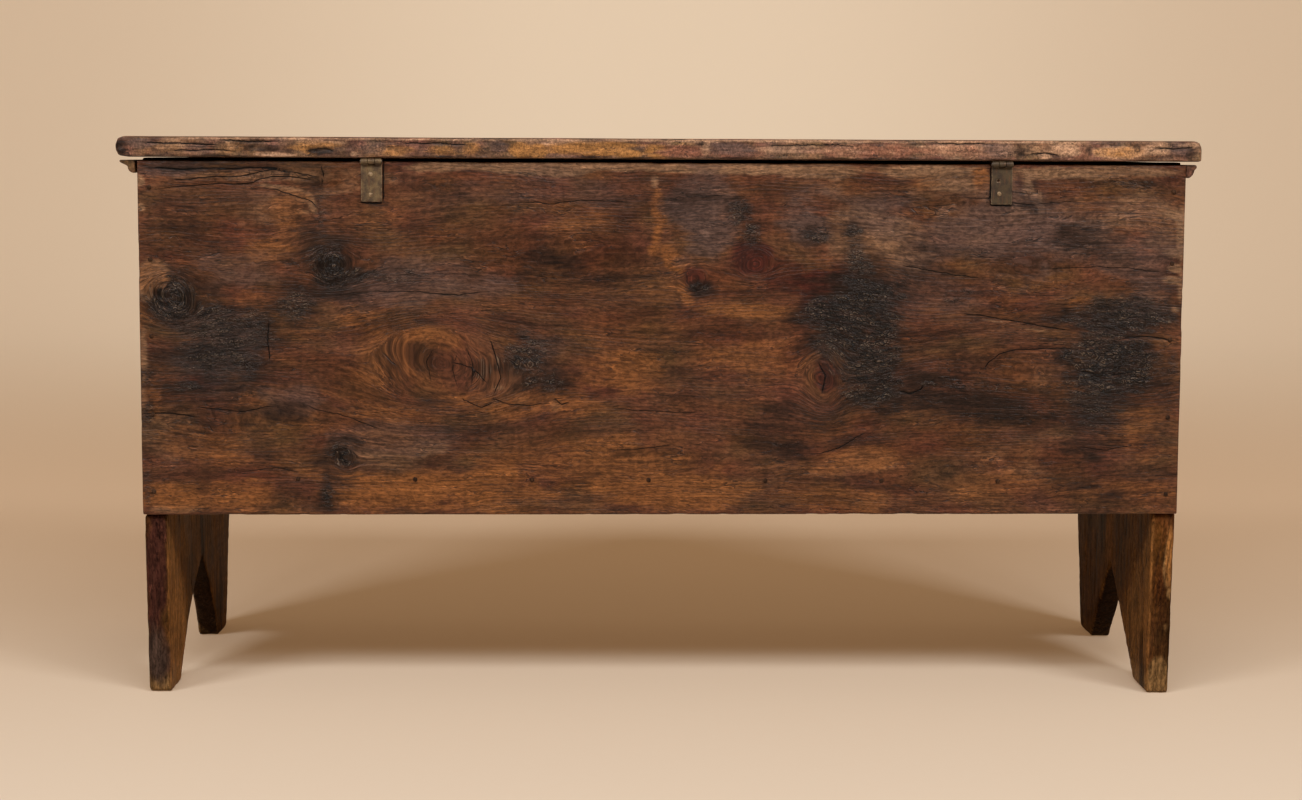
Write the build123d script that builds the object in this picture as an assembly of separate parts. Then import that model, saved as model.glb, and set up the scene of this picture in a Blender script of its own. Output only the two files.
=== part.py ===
from build123d import *
from math import atan2, degrees
import os

# A six-board chest on bootjack feet, in millimetres. The origin is on the floor
# under the middle of the lid. +X runs along the length, to the right of someone
# who stands behind the chest. The hinged back faces -Y and the front faces +Y.

# Case
case_length = 1200
case_depth = 478  # back face to front face
end_board_thickness = 27.5
plank_thickness = 24  # front, back and bottom boards
bottom_height = 243  # underside of the bottom board above the floor
housing_depth = 8  # groove in each end board for the bottom board
left_shoulder = 212.5  # where the front and back boards end above the floor
right_shoulder = 216.8
back_board_top = 621
worn_arris = 3

# Feet
stands_proud = 6  # how far the front and back boards stand out of the legs
rear_setback = 13  # how far a leg's edge slopes in on its way to the floor
front_setback = 51
foot_corner = 5
left_notch = {"near": 82, "far": 352, "apex": (238, 124), "near_bow": 13, "far_bow": 11}
right_notch = {"near": 91, "far": 353, "apex": (235, 120), "near_bow": 1, "far_bow": 2}

# Lid
lid_underside = 624.5
lid_thickness = 24
lid_seat_gap = 0.4  # between the closed lid and the boards that it comes down on
lid_left_overhang = 23.5
lid_right_overhang = 16.4
lid_rear_overhang = 7.5
lid_front_overhang = 15

# Strap hinges
leaf_width = 24
leaf_thickness = 1.8
case_leaf_foot = 575  # lower end of the leaf on the back board
lid_leaf_reach = 50  # from the back face to the leaf's end under the lid
knuckle_radius = 3.4
pin_radius = 1.6
pin_running_clearance = 0.05
pin_burr = 0.8
knuckle_side_gap = 0.3
hinge_clearance = 0.4  # between a knuckle and the wood or leaf that it turns past
left_hinge_step = -333  # from the middle of the case
right_hinge_step = 388

# Wrought nails: square, tapered, with a hammered head
nail_shank = 3
nail_head = 5.5
nail_head_height = 1
plank_nail = 60
leaf_nail = 20
moulding_nail = 26

# Mouldings under the lid
moulding_top = 621.3
moulding_height = 15.5
side_projection = 12.4
left_projection = 17.5
left_moulding_gap = 2.4  # the left strip stands off the board at the back

# Worked out from the above
lid_length = lid_left_overhang + case_length + lid_right_overhang
lid_depth = lid_rear_overhang + case_depth + lid_front_overhang
middle_x = (lid_left_overhang - lid_right_overhang) / 2  # middle of the case
left_face = middle_x - case_length / 2
right_face = middle_x + case_length / 2
back_face = lid_rear_overhang - lid_depth / 2
front_face = back_face + case_depth
inside_back = back_face + plank_thickness
inside_front = front_face - plank_thickness
case_top = lid_underside - lid_seat_gap
moulding_foot = moulding_top - moulding_height
swept_radius = knuckle_radius + hinge_clearance
hinge_y = back_face - swept_radius
hinge_z = lid_underside - swept_radius
left_hinge = middle_x + left_hinge_step
right_hinge = middle_x + right_hinge_step


def block(x, y, z):
    """A box from its two limits along each axis."""
    size = Box(x[1] - x[0], y[1] - y[0], z[1] - z[0])
    return Pos((x[0] + x[1]) / 2, (y[0] + y[1]) / 2, (z[0] + z[1]) / 2) * size


# Nails


def square_taper(base, tip, height):
    """Four flat sides from a square base up +Z to a smaller square."""
    return extrude(Rectangle(base, base), amount=height, taper=degrees(atan2((base - tip) / 2, height)))


def wrought_nail(length):
    """A nail driven along +Z, with its head resting on the plane Z = 0."""
    shank = square_taper(nail_shank, nail_shank * 0.4, length)
    head = square_taper(nail_head, nail_head * 0.45, nail_head_height)
    return shank + Rot(180, 0, 0) * head


def driven(length, places, turn):
    """A nail at each place where a head rests, turned from +Z to its direction."""
    nail = Rot(*turn) * wrought_nail(length)
    return [Pos(*place) * nail for place in places]


forwards = (-90, 0, 0)
backwards = (90, 0, 0)
rightwards = (0, 90, 0)
leftwards = (0, -90, 0)
upwards = (0, 0, 0)

end_board_middles = (left_face + end_board_thickness / 2, right_face - end_board_thickness / 2)
end_nail_heights = (240, 330, 420, 508, 590)
end_nails = [(x, z) for x in end_board_middles for z in end_nail_heights]
back_board_nails = driven(plank_nail, [(x, back_face, z) for x, z in end_nails], forwards)
front_board_nails = driven(plank_nail, [(x, front_face, z) for x, z in end_nails], backwards)

bottom_nail_height = bottom_height + plank_thickness / 2
bottom_nails = [(middle_x - 420 + 135 * step, bottom_nail_height) for step in range(7)]
bottom_nails_back = driven(plank_nail, [(x, back_face, z) for x, z in bottom_nails], forwards)
bottom_nails_front = driven(plank_nail, [(x, front_face, z) for x, z in bottom_nails], backwards)

leaf_face = back_face - leaf_thickness
lid_leaf_face = lid_underside - leaf_thickness
left_nail_x = left_hinge - 1
right_nail_x = right_hinge - 3
left_hinge_case_nails = driven(leaf_nail, [(left_nail_x, leaf_face, z) for z in (582.5, 606)], forwards)
right_hinge_case_nails = driven(leaf_nail, [(right_nail_x, leaf_face, 587)], forwards)
empty_nail_hole = block(
    (right_nail_x - 2.5, right_nail_x + 0.5), (leaf_face - 1, back_face + 12), (600.5, 603.5)
)


def lid_leaf_nails(x):
    reaches = (inside_back + 7, inside_back + 19)
    return driven(leaf_nail, [(x, y, lid_leaf_face) for y in reaches], upwards)


left_hinge_lid_nails = lid_leaf_nails(left_hinge)
right_hinge_lid_nails = lid_leaf_nails(right_hinge)

head_stands_out = 7  # underside of a moulding nail's head, from the case
moulding_nail_z = moulding_foot + 5
side_nail_steps = (60, 239, 418)  # from the back face


def left_gap(step):
    """How far the left strip stands off the end board at this distance from the back."""
    return left_moulding_gap * (1 - step / case_depth)


right_moulding_nails = driven(
    moulding_nail,
    [(right_face + head_stands_out, back_face + step, moulding_nail_z) for step in side_nail_steps],
    leftwards,
)
left_moulding_nails = driven(
    moulding_nail,
    [
        (left_face - head_stands_out - left_gap(step), back_face + step, moulding_nail_z)
        for step in side_nail_steps
    ],
    rightwards,
)
front_moulding_nails = driven(
    moulding_nail,
    [(middle_x - 500 + 200 * step, front_face + head_stands_out, moulding_nail_z) for step in range(6)],
    backwards,
)


# Boards


def rounded_section(width, height, radii):
    """A rectangle with a radius at its lower left, lower right, upper right and upper left."""
    section = Rectangle(width, height)
    corners = ((-1, -1), (1, -1), (1, 1), (-1, 1))
    for (u, v), radius in zip(corners, radii):
        place = Vector(u * width / 2, v * height / 2, 0)
        section = fillet(section.vertices().sort_by_distance(place)[0], radius)
    return section


def lid_board():
    """One plank, worn fully round at its left end."""
    lengthways = rounded_section(lid_length, lid_thickness, (11.9, 3, 10, 11.9))
    across = rounded_section(lid_depth, lid_thickness, (2, 3, 8, 3))
    plank = extrude(Plane.XZ * lengthways, amount=lid_depth / 2, both=True)
    plank = plank & extrude(Plane.YZ * across, amount=lid_length / 2, both=True)
    return Pos(0, 0, lid_underside + lid_thickness / 2) * plank


def long_board(y, top, outer_y):
    """A front or back board between two limits in Y, its outer top arris worn.

    Its lower edge lies flat on both shoulders and slopes between them.
    """
    outline = Polyline(
        (left_face, left_shoulder),
        (left_face + end_board_thickness, left_shoulder),
        (right_face - end_board_thickness, right_shoulder),
        (right_face, right_shoulder),
        (right_face, top),
        (left_face, top),
        close=True,
    )
    # Plane.XZ faces -Y, so the board grows backwards from its front limit
    board = extrude(Plane.XZ.offset(-y[1]) * make_face(outline), amount=y[1] - y[0])
    arris = board.edges().filter_by(Axis.X).sort_by_distance(Vector(middle_x, outer_y, top))[0]
    return fillet(arris, worn_arris)


def end_board(x, inner_face, shoulder, notch):
    """An end board from x, its outline counted from the back face in the YZ plane."""
    leg_back = stands_proud
    leg_front = case_depth - stands_proud
    heel = leg_back + rear_setback
    toe = leg_front - front_setback
    outline = Polyline(
        (notch["far"], 0),
        (toe - foot_corner, 0),
        (toe, foot_corner),
        (leg_front, shoulder),
        (case_depth - plank_thickness, shoulder),
        (case_depth - plank_thickness, case_top),
        (plank_thickness, case_top),
        (plank_thickness, shoulder),
        (leg_back, shoulder),
        (heel, foot_corner * 0.4),
        (heel + foot_corner * 0.4, 0),
        (notch["near"], 0),
    )
    near_side = SagittaArc((notch["near"], 0), notch["apex"], notch["near_bow"])
    far_side = SagittaArc(notch["apex"], (notch["far"], 0), notch["far_bow"])
    face = make_face(Curve() + [outline, near_side, far_side])
    board = extrude(Plane.YZ.offset(x) * Pos(back_face, 0) * face, amount=end_board_thickness)
    housing = block(
        (inner_face - housing_depth, inner_face + housing_depth),
        (inside_back, inside_front),
        (bottom_height, bottom_height + plank_thickness),
    )
    return board - housing


def bottom_board():
    reach = case_length / 2 - end_board_thickness + housing_depth
    return block(
        (middle_x - reach, middle_x + reach),
        (inside_back, inside_front),
        (bottom_height, bottom_height + plank_thickness),
    )


# Mouldings: a bead over an ovolo


def moulding_profile(projection, body, bead_height, nose_height):
    """The section, with u out of the case and v up from the moulding's foot."""
    quirk = moulding_height - bead_height
    nose = moulding_height - nose_height
    foot = body * 0.35
    tip = projection - nose_height * 0.25
    outline = [
        Line((0, 0), (foot, 0)),
        SagittaArc((foot, 0), (body, quirk), -1.4),
        Line((body, quirk), (tip, nose)),
        ThreePointArc((tip, nose), (projection, (nose + moulding_height) / 2), (tip, moulding_height)),
        Line((tip, moulding_height), (0, moulding_height)),
        Line((0, moulding_height), (0, 0)),
    ]
    return make_face(Curve() + outline)


side_profile = moulding_profile(side_projection, 9.6, 6.2, 5)
left_profile = moulding_profile(left_projection, 8.4, 7, 3.2)


def strip(start, outwards, along, profile, length):
    return extrude(Plane(start, outwards, along) * profile, amount=length)


def inside_mitres():
    """The space in front of the case between the mitres at its two front corners.

    Each mitre runs from the corner of the case to the corner of the mouldings.
    """
    reach = 3
    top_view = Polyline(
        (left_face, front_face),
        (left_face - reach * left_projection, front_face + reach * side_projection),
        (right_face + reach * side_projection, front_face + reach * side_projection),
        (right_face, front_face),
        close=True,
    )
    return extrude(Pos(0, 0, moulding_foot - 1) * make_face(top_view), amount=moulding_height + 2)


def side_length():
    return case_depth + side_projection * 1.5


def right_moulding():
    start = (right_face, back_face + side_length(), moulding_foot)
    return strip(start, (1, 0, 0), (0, -1, 0), side_profile, side_length()) - inside_mitres()


def left_moulding():
    """Turned about the front corner until its back end stands off the board."""
    start = (left_face, back_face, moulding_foot)
    moulding = strip(start, (-1, 0, 0), (0, 1, 0), left_profile, side_length())
    turn = -degrees(atan2(left_moulding_gap, case_depth))
    corner = Pos(left_face, front_face, 0)
    return corner * Rot(0, 0, turn) * corner.inverse() * moulding - inside_mitres()


def front_moulding():
    start = (left_face - left_projection, front_face, moulding_foot)
    length = case_length + left_projection + side_projection
    return strip(start, (0, 1, 0), (1, 0, 0), side_profile, length) & inside_mitres()


# Strap hinges: three knuckles, the outer two on the case leaf
leaf_half = leaf_width / 2
middle_knuckle_half = leaf_width / 6 - knuckle_side_gap / 2
outer_knuckle_start = middle_knuckle_half + knuckle_side_gap
outer_knuckles = ((-leaf_half, -outer_knuckle_start), (outer_knuckle_start, leaf_half))


def knuckle(x, bore_radius):
    """A rolled knuckle between two limits in X."""
    length = x[1] - x[0]
    roll = Cylinder(knuckle_radius, length) - Cylinder(bore_radius, length)
    return Pos((x[0] + x[1]) / 2, hinge_y, hinge_z) * Rot(0, 90, 0) * roll


def case_leaf(middle):
    leaf_top = hinge_z - swept_radius
    full_width = (middle - leaf_half, middle + leaf_half)
    leaf = block(full_width, (leaf_face, back_face), (case_leaf_foot, leaf_top))
    for start, end in outer_knuckles:
        x = (middle + start, middle + end)
        leaf = leaf + block(x, (leaf_face, back_face), (leaf_top, hinge_z)) + knuckle(x, pin_radius)
    return leaf


def lid_leaf(middle):
    z = (lid_leaf_face, lid_underside)
    leaf = block((middle - leaf_half, middle + leaf_half), (back_face, back_face + lid_leaf_reach), z)
    x = (middle - middle_knuckle_half, middle + middle_knuckle_half)
    return leaf + block(x, (hinge_y, back_face), z) + knuckle(x, pin_radius + pin_running_clearance)


def hinge_pin(middle):
    """Driven tight through the outer knuckles, both ends burred over."""
    burr = loft([Circle(pin_radius * 1.35), Pos(0, 0, pin_burr) * Circle(pin_radius * 0.9)])
    right_burr = Pos(0, 0, leaf_half) * burr
    left_burr = Pos(0, 0, -leaf_half) * Rot(180, 0, 0) * burr
    pin = Cylinder(pin_radius, leaf_width) + right_burr + left_burr
    return Pos(middle, hinge_y, hinge_z) * Rot(0, 90, 0) * pin


# Assembly: every board has the holes that its nails made
left_inner_face = left_face + end_board_thickness
right_inner_face = right_face - end_board_thickness
left_end = end_board(left_face, left_inner_face, left_shoulder, left_notch)
right_end = end_board(right_inner_face, right_inner_face, right_shoulder, right_notch)
long_nails = back_board_nails + front_board_nails
leaf_nails = left_hinge_case_nails + right_hinge_case_nails
lid_nails = left_hinge_lid_nails + right_hinge_lid_nails

parts = {
    "lid_board": lid_board() - lid_nails,
    "back_board": long_board((back_face, inside_back), back_board_top, back_face)
    - back_board_nails
    - bottom_nails_back
    - leaf_nails
    - empty_nail_hole,
    "front_board": long_board((inside_front, front_face), case_top, front_face)
    - front_board_nails
    - bottom_nails_front
    - front_moulding_nails,
    "left_end_board": left_end - long_nails - left_moulding_nails,
    "right_end_board": right_end - long_nails - right_moulding_nails,
    "bottom_board": bottom_board() - bottom_nails_back - bottom_nails_front,
    "left_moulding": left_moulding() - left_moulding_nails,
    "right_moulding": right_moulding() - right_moulding_nails,
    "front_moulding": front_moulding() - front_moulding_nails,
    "left_hinge_case_leaf": case_leaf(left_hinge) - left_hinge_case_nails,
    "right_hinge_case_leaf": case_leaf(right_hinge) - right_hinge_case_nails - empty_nail_hole,
    "left_hinge_lid_leaf": lid_leaf(left_hinge) - left_hinge_lid_nails,
    "right_hinge_lid_leaf": lid_leaf(right_hinge) - right_hinge_lid_nails,
    "left_hinge_pin": hinge_pin(left_hinge),
    "right_hinge_pin": hinge_pin(right_hinge),
    "back_board_nails": Compound(back_board_nails),
    "front_board_nails": Compound(front_board_nails),
    "bottom_board_nails": Compound(bottom_nails_back + bottom_nails_front),
    "left_hinge_case_nails": Compound(left_hinge_case_nails),
    "right_hinge_case_nails": Compound(right_hinge_case_nails),
    "left_hinge_lid_nails": Compound(left_hinge_lid_nails),
    "right_hinge_lid_nails": Compound(right_hinge_lid_nails),
    "left_moulding_nails": Compound(left_moulding_nails),
    "right_moulding_nails": Compound(right_moulding_nails),
    "front_moulding_nails": Compound(front_moulding_nails),
}

os.makedirs("parts", exist_ok=True)
for name, shape in parts.items():
    export_step(shape, f"parts/{name}.step")
    print(name, round(shape.volume))
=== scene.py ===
import math

import bmesh
import bpy
import numpy as np
from mathutils import Matrix, Vector
from mathutils.kdtree import KDTree


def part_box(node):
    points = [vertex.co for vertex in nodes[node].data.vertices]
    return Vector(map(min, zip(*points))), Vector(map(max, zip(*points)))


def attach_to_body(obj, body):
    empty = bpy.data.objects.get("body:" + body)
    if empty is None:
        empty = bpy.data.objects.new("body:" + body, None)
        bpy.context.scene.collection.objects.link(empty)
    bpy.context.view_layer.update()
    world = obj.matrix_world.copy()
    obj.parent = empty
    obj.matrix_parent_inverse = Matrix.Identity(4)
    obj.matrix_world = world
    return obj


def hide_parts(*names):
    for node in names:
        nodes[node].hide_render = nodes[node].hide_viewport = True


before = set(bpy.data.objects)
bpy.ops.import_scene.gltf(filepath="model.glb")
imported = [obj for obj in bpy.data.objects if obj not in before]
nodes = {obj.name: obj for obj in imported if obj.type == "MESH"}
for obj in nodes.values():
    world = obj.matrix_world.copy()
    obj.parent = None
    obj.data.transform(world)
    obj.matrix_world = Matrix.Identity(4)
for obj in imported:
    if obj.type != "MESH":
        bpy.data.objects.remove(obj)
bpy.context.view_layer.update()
mm = 0.001
scene = bpy.context.scene


# Soft steps and repeatable noise


def soften(value):
    value = np.clip(value, 0, 1)
    return value * value * (3 - 2 * value)


def blend(first, second, share):
    return first + (second - first) * share


def cornerValue(x, y, z, seed):
    mixed = (x * 73856093) ^ (y * 19349663) ^ (z * 83492791) ^ (seed * 2654435)
    mixed = ((mixed ^ (mixed >> 13)) * 1274126177) & 0xFFFFFFFF
    mixed = ((mixed ^ (mixed >> 15)) * 224682251) & 0xFFFFFFFF
    return ((mixed >> 7) & 0xFFFF) / 65535


def noise(points, size, seed, octaves=1):
    # values around 0 whose waves are about size millimetres long
    shift = 17.3
    total = np.zeros(len(points))
    weight = 1.0
    whole = 0.0
    for octave in range(octaves):
        spot = points / (np.asarray(size) * mm) * 2**octave + octave * shift
        cell = np.floor(spot).astype(np.int64)
        part = spot - cell
        part = part**3 * (part * (part * 6 - 15) + 10)
        value = np.zeros(len(points))
        for corner in np.ndindex(2, 2, 2):
            share = np.abs(part - (1 - np.array(corner))).prod(axis=1)
            value += share * cornerValue(*(cell + corner).T, seed + octave)
        total += weight * (value * 2 - 1)
        whole += weight
        weight *= 0.5
    return total / whole


# Meshes of planks: a welded grid over a box, fine where it shows


def gridLines(low, high, step, edgeStep, edgeBand):
    near = np.arange(0, edgeBand - edgeStep / 2, edgeStep)
    count = max(1, round((high - low - 2 * edgeBand) / step))
    middle = np.linspace(low + edgeBand, high - edgeBand, count + 1)
    return np.concatenate([low + near, middle, (high - near)[::-1]])


def cellLoop(i0, i1, j0, j1, lastI, lastJ):
    # round one cell, with every grid line that meets the rim
    lower = [(i, j0) for i in (range(i0, i1) if j0 == 0 else (i0,))]
    right = [(i1, j) for j in (range(j0, j1) if i1 == lastI else (j0,))]
    upper = [(i, j1) for i in (range(i1, i0, -1) if j1 == lastJ else (i1,))]
    left = [(i0, j) for j in (range(j1, j0, -1) if i0 == 0 else (j1,))]
    return lower + right + upper + left


def surfaceGrid(lines, coarse):
    found = {}
    points = []
    faces = []
    for axis in range(3):
        u = (axis + 1) % 3
        v = (axis + 2) % 3
        lastU = len(lines[u]) - 1
        lastV = len(lines[v]) - 1
        for side in (0, 1):
            stepU, stepV = coarse.get((axis, side), (1, 1))
            fixed = side * (len(lines[axis]) - 1)
            cutsU = list(range(0, lastU, stepU)) + [lastU]
            cutsV = list(range(0, lastV, stepV)) + [lastV]
            for i0, i1 in zip(cutsU, cutsU[1:]):
                for j0, j1 in zip(cutsV, cutsV[1:]):
                    face = []
                    for i, j in cellLoop(i0, i1, j0, j1, lastU, lastV):
                        key = [0, 0, 0]
                        key[axis] = fixed
                        key[u] = i
                        key[v] = j
                        key = tuple(key)
                        if key not in found:
                            found[key] = len(points)
                            points.append([lines[n][key[n]] for n in range(3)])
                        face.append(found[key])
                    faces.append(face if side else face[::-1])
    return np.array(points), faces


def roundCorners(points, low, high, u, v, radii):
    # radii at lower left, lower right, upper right, upper left of the plane of u and v
    for (right, upper), radius in zip(((0, 0), (1, 0), (1, 1), (0, 1)), radii):
        if radius == 0:
            continue
        centreU = high[u] - radius if right else low[u] + radius
        centreV = high[v] - radius if upper else low[v] + radius
        du = points[:, u] - centreU
        dv = points[:, v] - centreV
        outU = du if right else -du
        outV = dv if upper else -dv
        shrink = np.maximum(outU, outV) / np.maximum(np.hypot(du, dv), 1e-9)
        shrink = np.where((outU > 0) & (outV > 0), shrink, 1)
        points[:, u] = np.where(shrink < 1, centreU + du * shrink, points[:, u])
        points[:, v] = np.where(shrink < 1, centreV + dv * shrink, points[:, v])


def boxEdge(points, low, high):
    # distance to the nearest edge of the box, in millimetres
    gaps = np.minimum(points - low, high - points)
    return np.sort(gaps, axis=1)[:, 1] / mm


def meshNormals(mesh):
    values = np.zeros(len(mesh.vertices) * 3, dtype=np.float32)
    mesh.vertex_normals.foreach_get("vector", values)
    return values.reshape(-1, 3).astype(np.float64)


def meshPoints(mesh):
    values = np.zeros(len(mesh.vertices) * 3, dtype=np.float32)
    mesh.vertices.foreach_get("co", values)
    return values.reshape(-1, 3).astype(np.float64)


def setPoints(mesh, points):
    mesh.vertices.foreach_set("co", points.astype(np.float32).ravel())
    mesh.update()


def attach(mesh, name, values):
    values = np.asarray(values, dtype=np.float32)
    kind = "FLOAT" if values.ndim == 1 else "FLOAT_VECTOR"
    layer = mesh.attributes.new(name, kind, "POINT")
    layer.data.foreach_set("value" if values.ndim == 1 else "vector", values.ravel())


def newMesh(name, points, faces):
    mesh = bpy.data.meshes.new(name)
    mesh.from_pydata([tuple(p) for p in points], [], faces)
    mesh.update()
    return mesh


def smoothShaded(mesh):
    mesh.polygons.foreach_set("use_smooth", [True] * len(mesh.polygons))
    mesh.update()


def place(name, mesh, material, body, slot, *replaced):
    piece = bpy.data.objects.new(name, mesh)
    scene.collection.objects.link(piece)
    mesh.materials.clear()
    mesh.materials.append(material)
    smoothShaded(mesh)
    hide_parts(*replaced)
    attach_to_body(piece, body)
    return piece


def boxOf(node):
    return [np.array(corner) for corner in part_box(node)]


def columns(*values):
    return np.stack(values, axis=1)


def camelName(node):
    first, *others = node.split("_")
    return first + "".join(part.capitalize() for part in others)


# Old wood: patches, knots and cracks in the plane of a board, in millimetres


def inEllipse(u, v, spotU, spotV, halfU, halfV, turn=0):
    # place along and across an ellipse, in its half lengths; the turn is in degrees
    angle = math.radians(turn)
    du = u - spotU
    dv = v - spotV
    along = (du * math.cos(angle) + dv * math.sin(angle)) / halfU
    across = (dv * math.cos(angle) - du * math.sin(angle)) / halfV
    return along, across


def patches(u, v, spots, rag, edge=0.7):
    # each is u, v, half length, half height, strength and, if it has one, its turn
    total = np.zeros(len(u))
    for *ellipse, strength, turn in ((*spot, 0)[:6] for spot in spots):
        reach = np.hypot(*inEllipse(u, v, *ellipse, turn)) + rag
        total = np.maximum(total, strength * soften((1 + edge / 2 - reach) / edge))
    return total


def grainAround(u, v, knots, swells):
    # lines of grain part round a knot and run in rings inside it, and bulge over a swell
    bent = v.copy()
    rings = []
    for knot in knots:
        along, across = inEllipse(u, v, *knot)
        knotV = knot[1]
        halfV = knot[3]
        square = along**2 + across**2
        bent = bent - across * halfV / np.maximum(square, 1) * np.exp(-np.maximum(square - 1, 0) * 0.12)
        rings.append((square, knotV + (1 - np.sqrt(square)) * halfV * 0.9))
    for swellU, swellV, halfU, halfV, rise in swells:
        along = (u - swellU) / halfU
        across = (v - swellV) / halfV
        bent = bent - rise * across * np.exp(-(along**2 + across**2))
    for square, ring in rings:
        bent = np.where(square < 1, ring, bent)
    return bent


def nearestCrack(u, v, cracks, band=8):
    # signed distance to the nearest crack and its depth, which fades beside it and at its ends
    side = np.full(len(u), float(band))
    nearest = np.full(len(u), float(band))
    depth = np.zeros(len(u))
    for strength, path in cracks:
        count = len(path) - 1
        for step in range(count):
            startU, startV = path[step]
            endU, endV = path[step + 1]
            runU = endU - startU
            runV = endV - startV
            square = runU**2 + runV**2
            share = np.clip(((u - startU) * runU + (v - startV) * runV) / square, 0, 1)
            awayU = u - startU - share * runU
            awayV = v - startV - share * runV
            distance = np.hypot(awayU, awayV)
            turned = np.sign(runU * awayV - runV * awayU)
            closer = distance < nearest
            taper = np.clip(np.sin(np.pi * np.clip((step + share) / count, 0.02, 0.98)) * 2.2, 0, 1)
            fade = soften(1.15 - distance / band)
            side = np.where(closer, distance * turned, side)
            depth = np.where(closer, strength * taper * fade, depth)
            nearest = np.minimum(nearest, distance)
    return side, depth


# Shader helpers: a sum of node outputs is written as a plain sum, and each step of it adds a node


class Value:
    def __init__(self, tree, socket):
        self.tree = tree
        self.socket = socket

    def math(self, operation, *others):
        return put(self.tree, "Math", dict(enumerate((self, *others))), operation=operation)[0]

    def __add__(self, other):
        return self.math("ADD", other)

    def __sub__(self, other):
        return self.math("SUBTRACT", other)

    def __mul__(self, other):
        return self.math("MULTIPLY", other)

    def __truediv__(self, other):
        return self.math("DIVIDE", other)

    def __pow__(self, other):
        return self.math("POWER", other)

    def __abs__(self):
        return self.math("ABSOLUTE")


def srgb(*levels):
    scaled = [level / 255 for level in levels]
    linear = [c / 12.92 if c <= 0.04045 else ((c + 0.055) / 1.055) ** 2.4 for c in scaled]
    return (*linear, 1)


def tints(look):
    return {key: srgb(*value) for key, value in look.items() if isinstance(value, tuple)}


def join(value, socket):
    if isinstance(value, Value):
        value.tree.links.new(value.socket, socket)
    else:
        socket.default_value = value


def outputsOf(tree, node):
    outputs = {}
    for number, socket in enumerate(node.outputs):
        outputs[number] = outputs[socket.name] = Value(tree, socket)
    return outputs


def put(tree, kind, inputs=None, **settings):
    node = tree.nodes.new("ShaderNode" + kind)
    for key, value in settings.items():
        setattr(node, key, value)
    for key, value in (inputs or {}).items():
        join(value, node.inputs[key])
    return outputsOf(tree, node)


def vectorSum(operation, first, second):
    return put(first.tree, "VectorMath", {0: first, 1: second}, operation=operation)[0]


def stretched(vector, *factors):
    return vectorSum("MULTIPLY", vector, factors)


def brightened(color, level):
    return put(level.tree, "VectorMath", {0: color, "Scale": level}, operation="SCALE")[0]


def parts(vector):
    found = put(vector.tree, "SeparateXYZ", {0: vector})
    return [found[axis] for axis in range(3)]


def remap(value, low, high, toLow=0.0, toHigh=1.0):
    inputs = {0: value, 1: low, 2: high, 3: toLow, 4: toHigh}
    return put(value.tree, "MapRange", inputs, interpolation_type="SMOOTHSTEP")[0]


def mixColor(share, first, second):
    return put(share.tree, "Mix", {0: share, 6: first, 7: second}, data_type="RGBA")[2]


def noiseNode(vector, scale, detail=2.0, roughness=0.5, distortion=0.0):
    # the scale is one number, or one for each direction
    if isinstance(scale, tuple):
        vector = stretched(vector, *scale)
        scale = 1
    inputs = {"Vector": vector, "Scale": scale, "Detail": detail, "Roughness": roughness}
    return put(vector.tree, "TexNoise", {**inputs, "Distortion": distortion})


def waves(vector, scale, detail=3.0, roughness=0.55, distortion=0.0):
    return noiseNode(vector, scale, detail, roughness, distortion)["Fac"]


def newGroup(name, inputs):
    # an input without a value is a vector
    tree = bpy.data.node_groups.new(name, "ShaderNodeTree")
    for label, value in inputs.items():
        kind = "NodeSocketVector" if value is None else "NodeSocketFloat"
        socket = tree.interface.new_socket(label, in_out="INPUT", socket_type=kind)
        if value is not None:
            socket.default_value = value
    return tree, outputsOf(tree, tree.nodes.new("NodeGroupInput"))


def closeGroup(tree, **results):
    for label in results:
        tree.interface.new_socket(label, in_out="OUTPUT", socket_type="NodeSocketFloat")
    made = tree.nodes.new("NodeGroupOutput").inputs
    for label, value in results.items():
        join(value, made[label])
    return tree


def use(tree, group, **inputs):
    return put(tree, "Group", inputs, node_tree=group)


def read(tree, name):
    return put(tree, "Attribute", attribute_name=name)


def newMaterial(name):
    material = bpy.data.materials.new(name)
    material.use_nodes = True
    material.node_tree.nodes.clear()
    return material, material.node_tree


def coat(tree, color, rough, gloss, bump=None, **others):
    inputs = {"Base Color": color, "Roughness": rough, "Specular IOR Level": gloss, **others}
    if bump:
        inputs["Normal"] = put(tree, "Bump", bump)[0]
    put(tree, "OutputMaterial", {"Surface": put(tree, "BsdfPrincipled", inputs)[0]})


# Shared effects: growth rings and fibres, burnt crust, cracks


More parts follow.
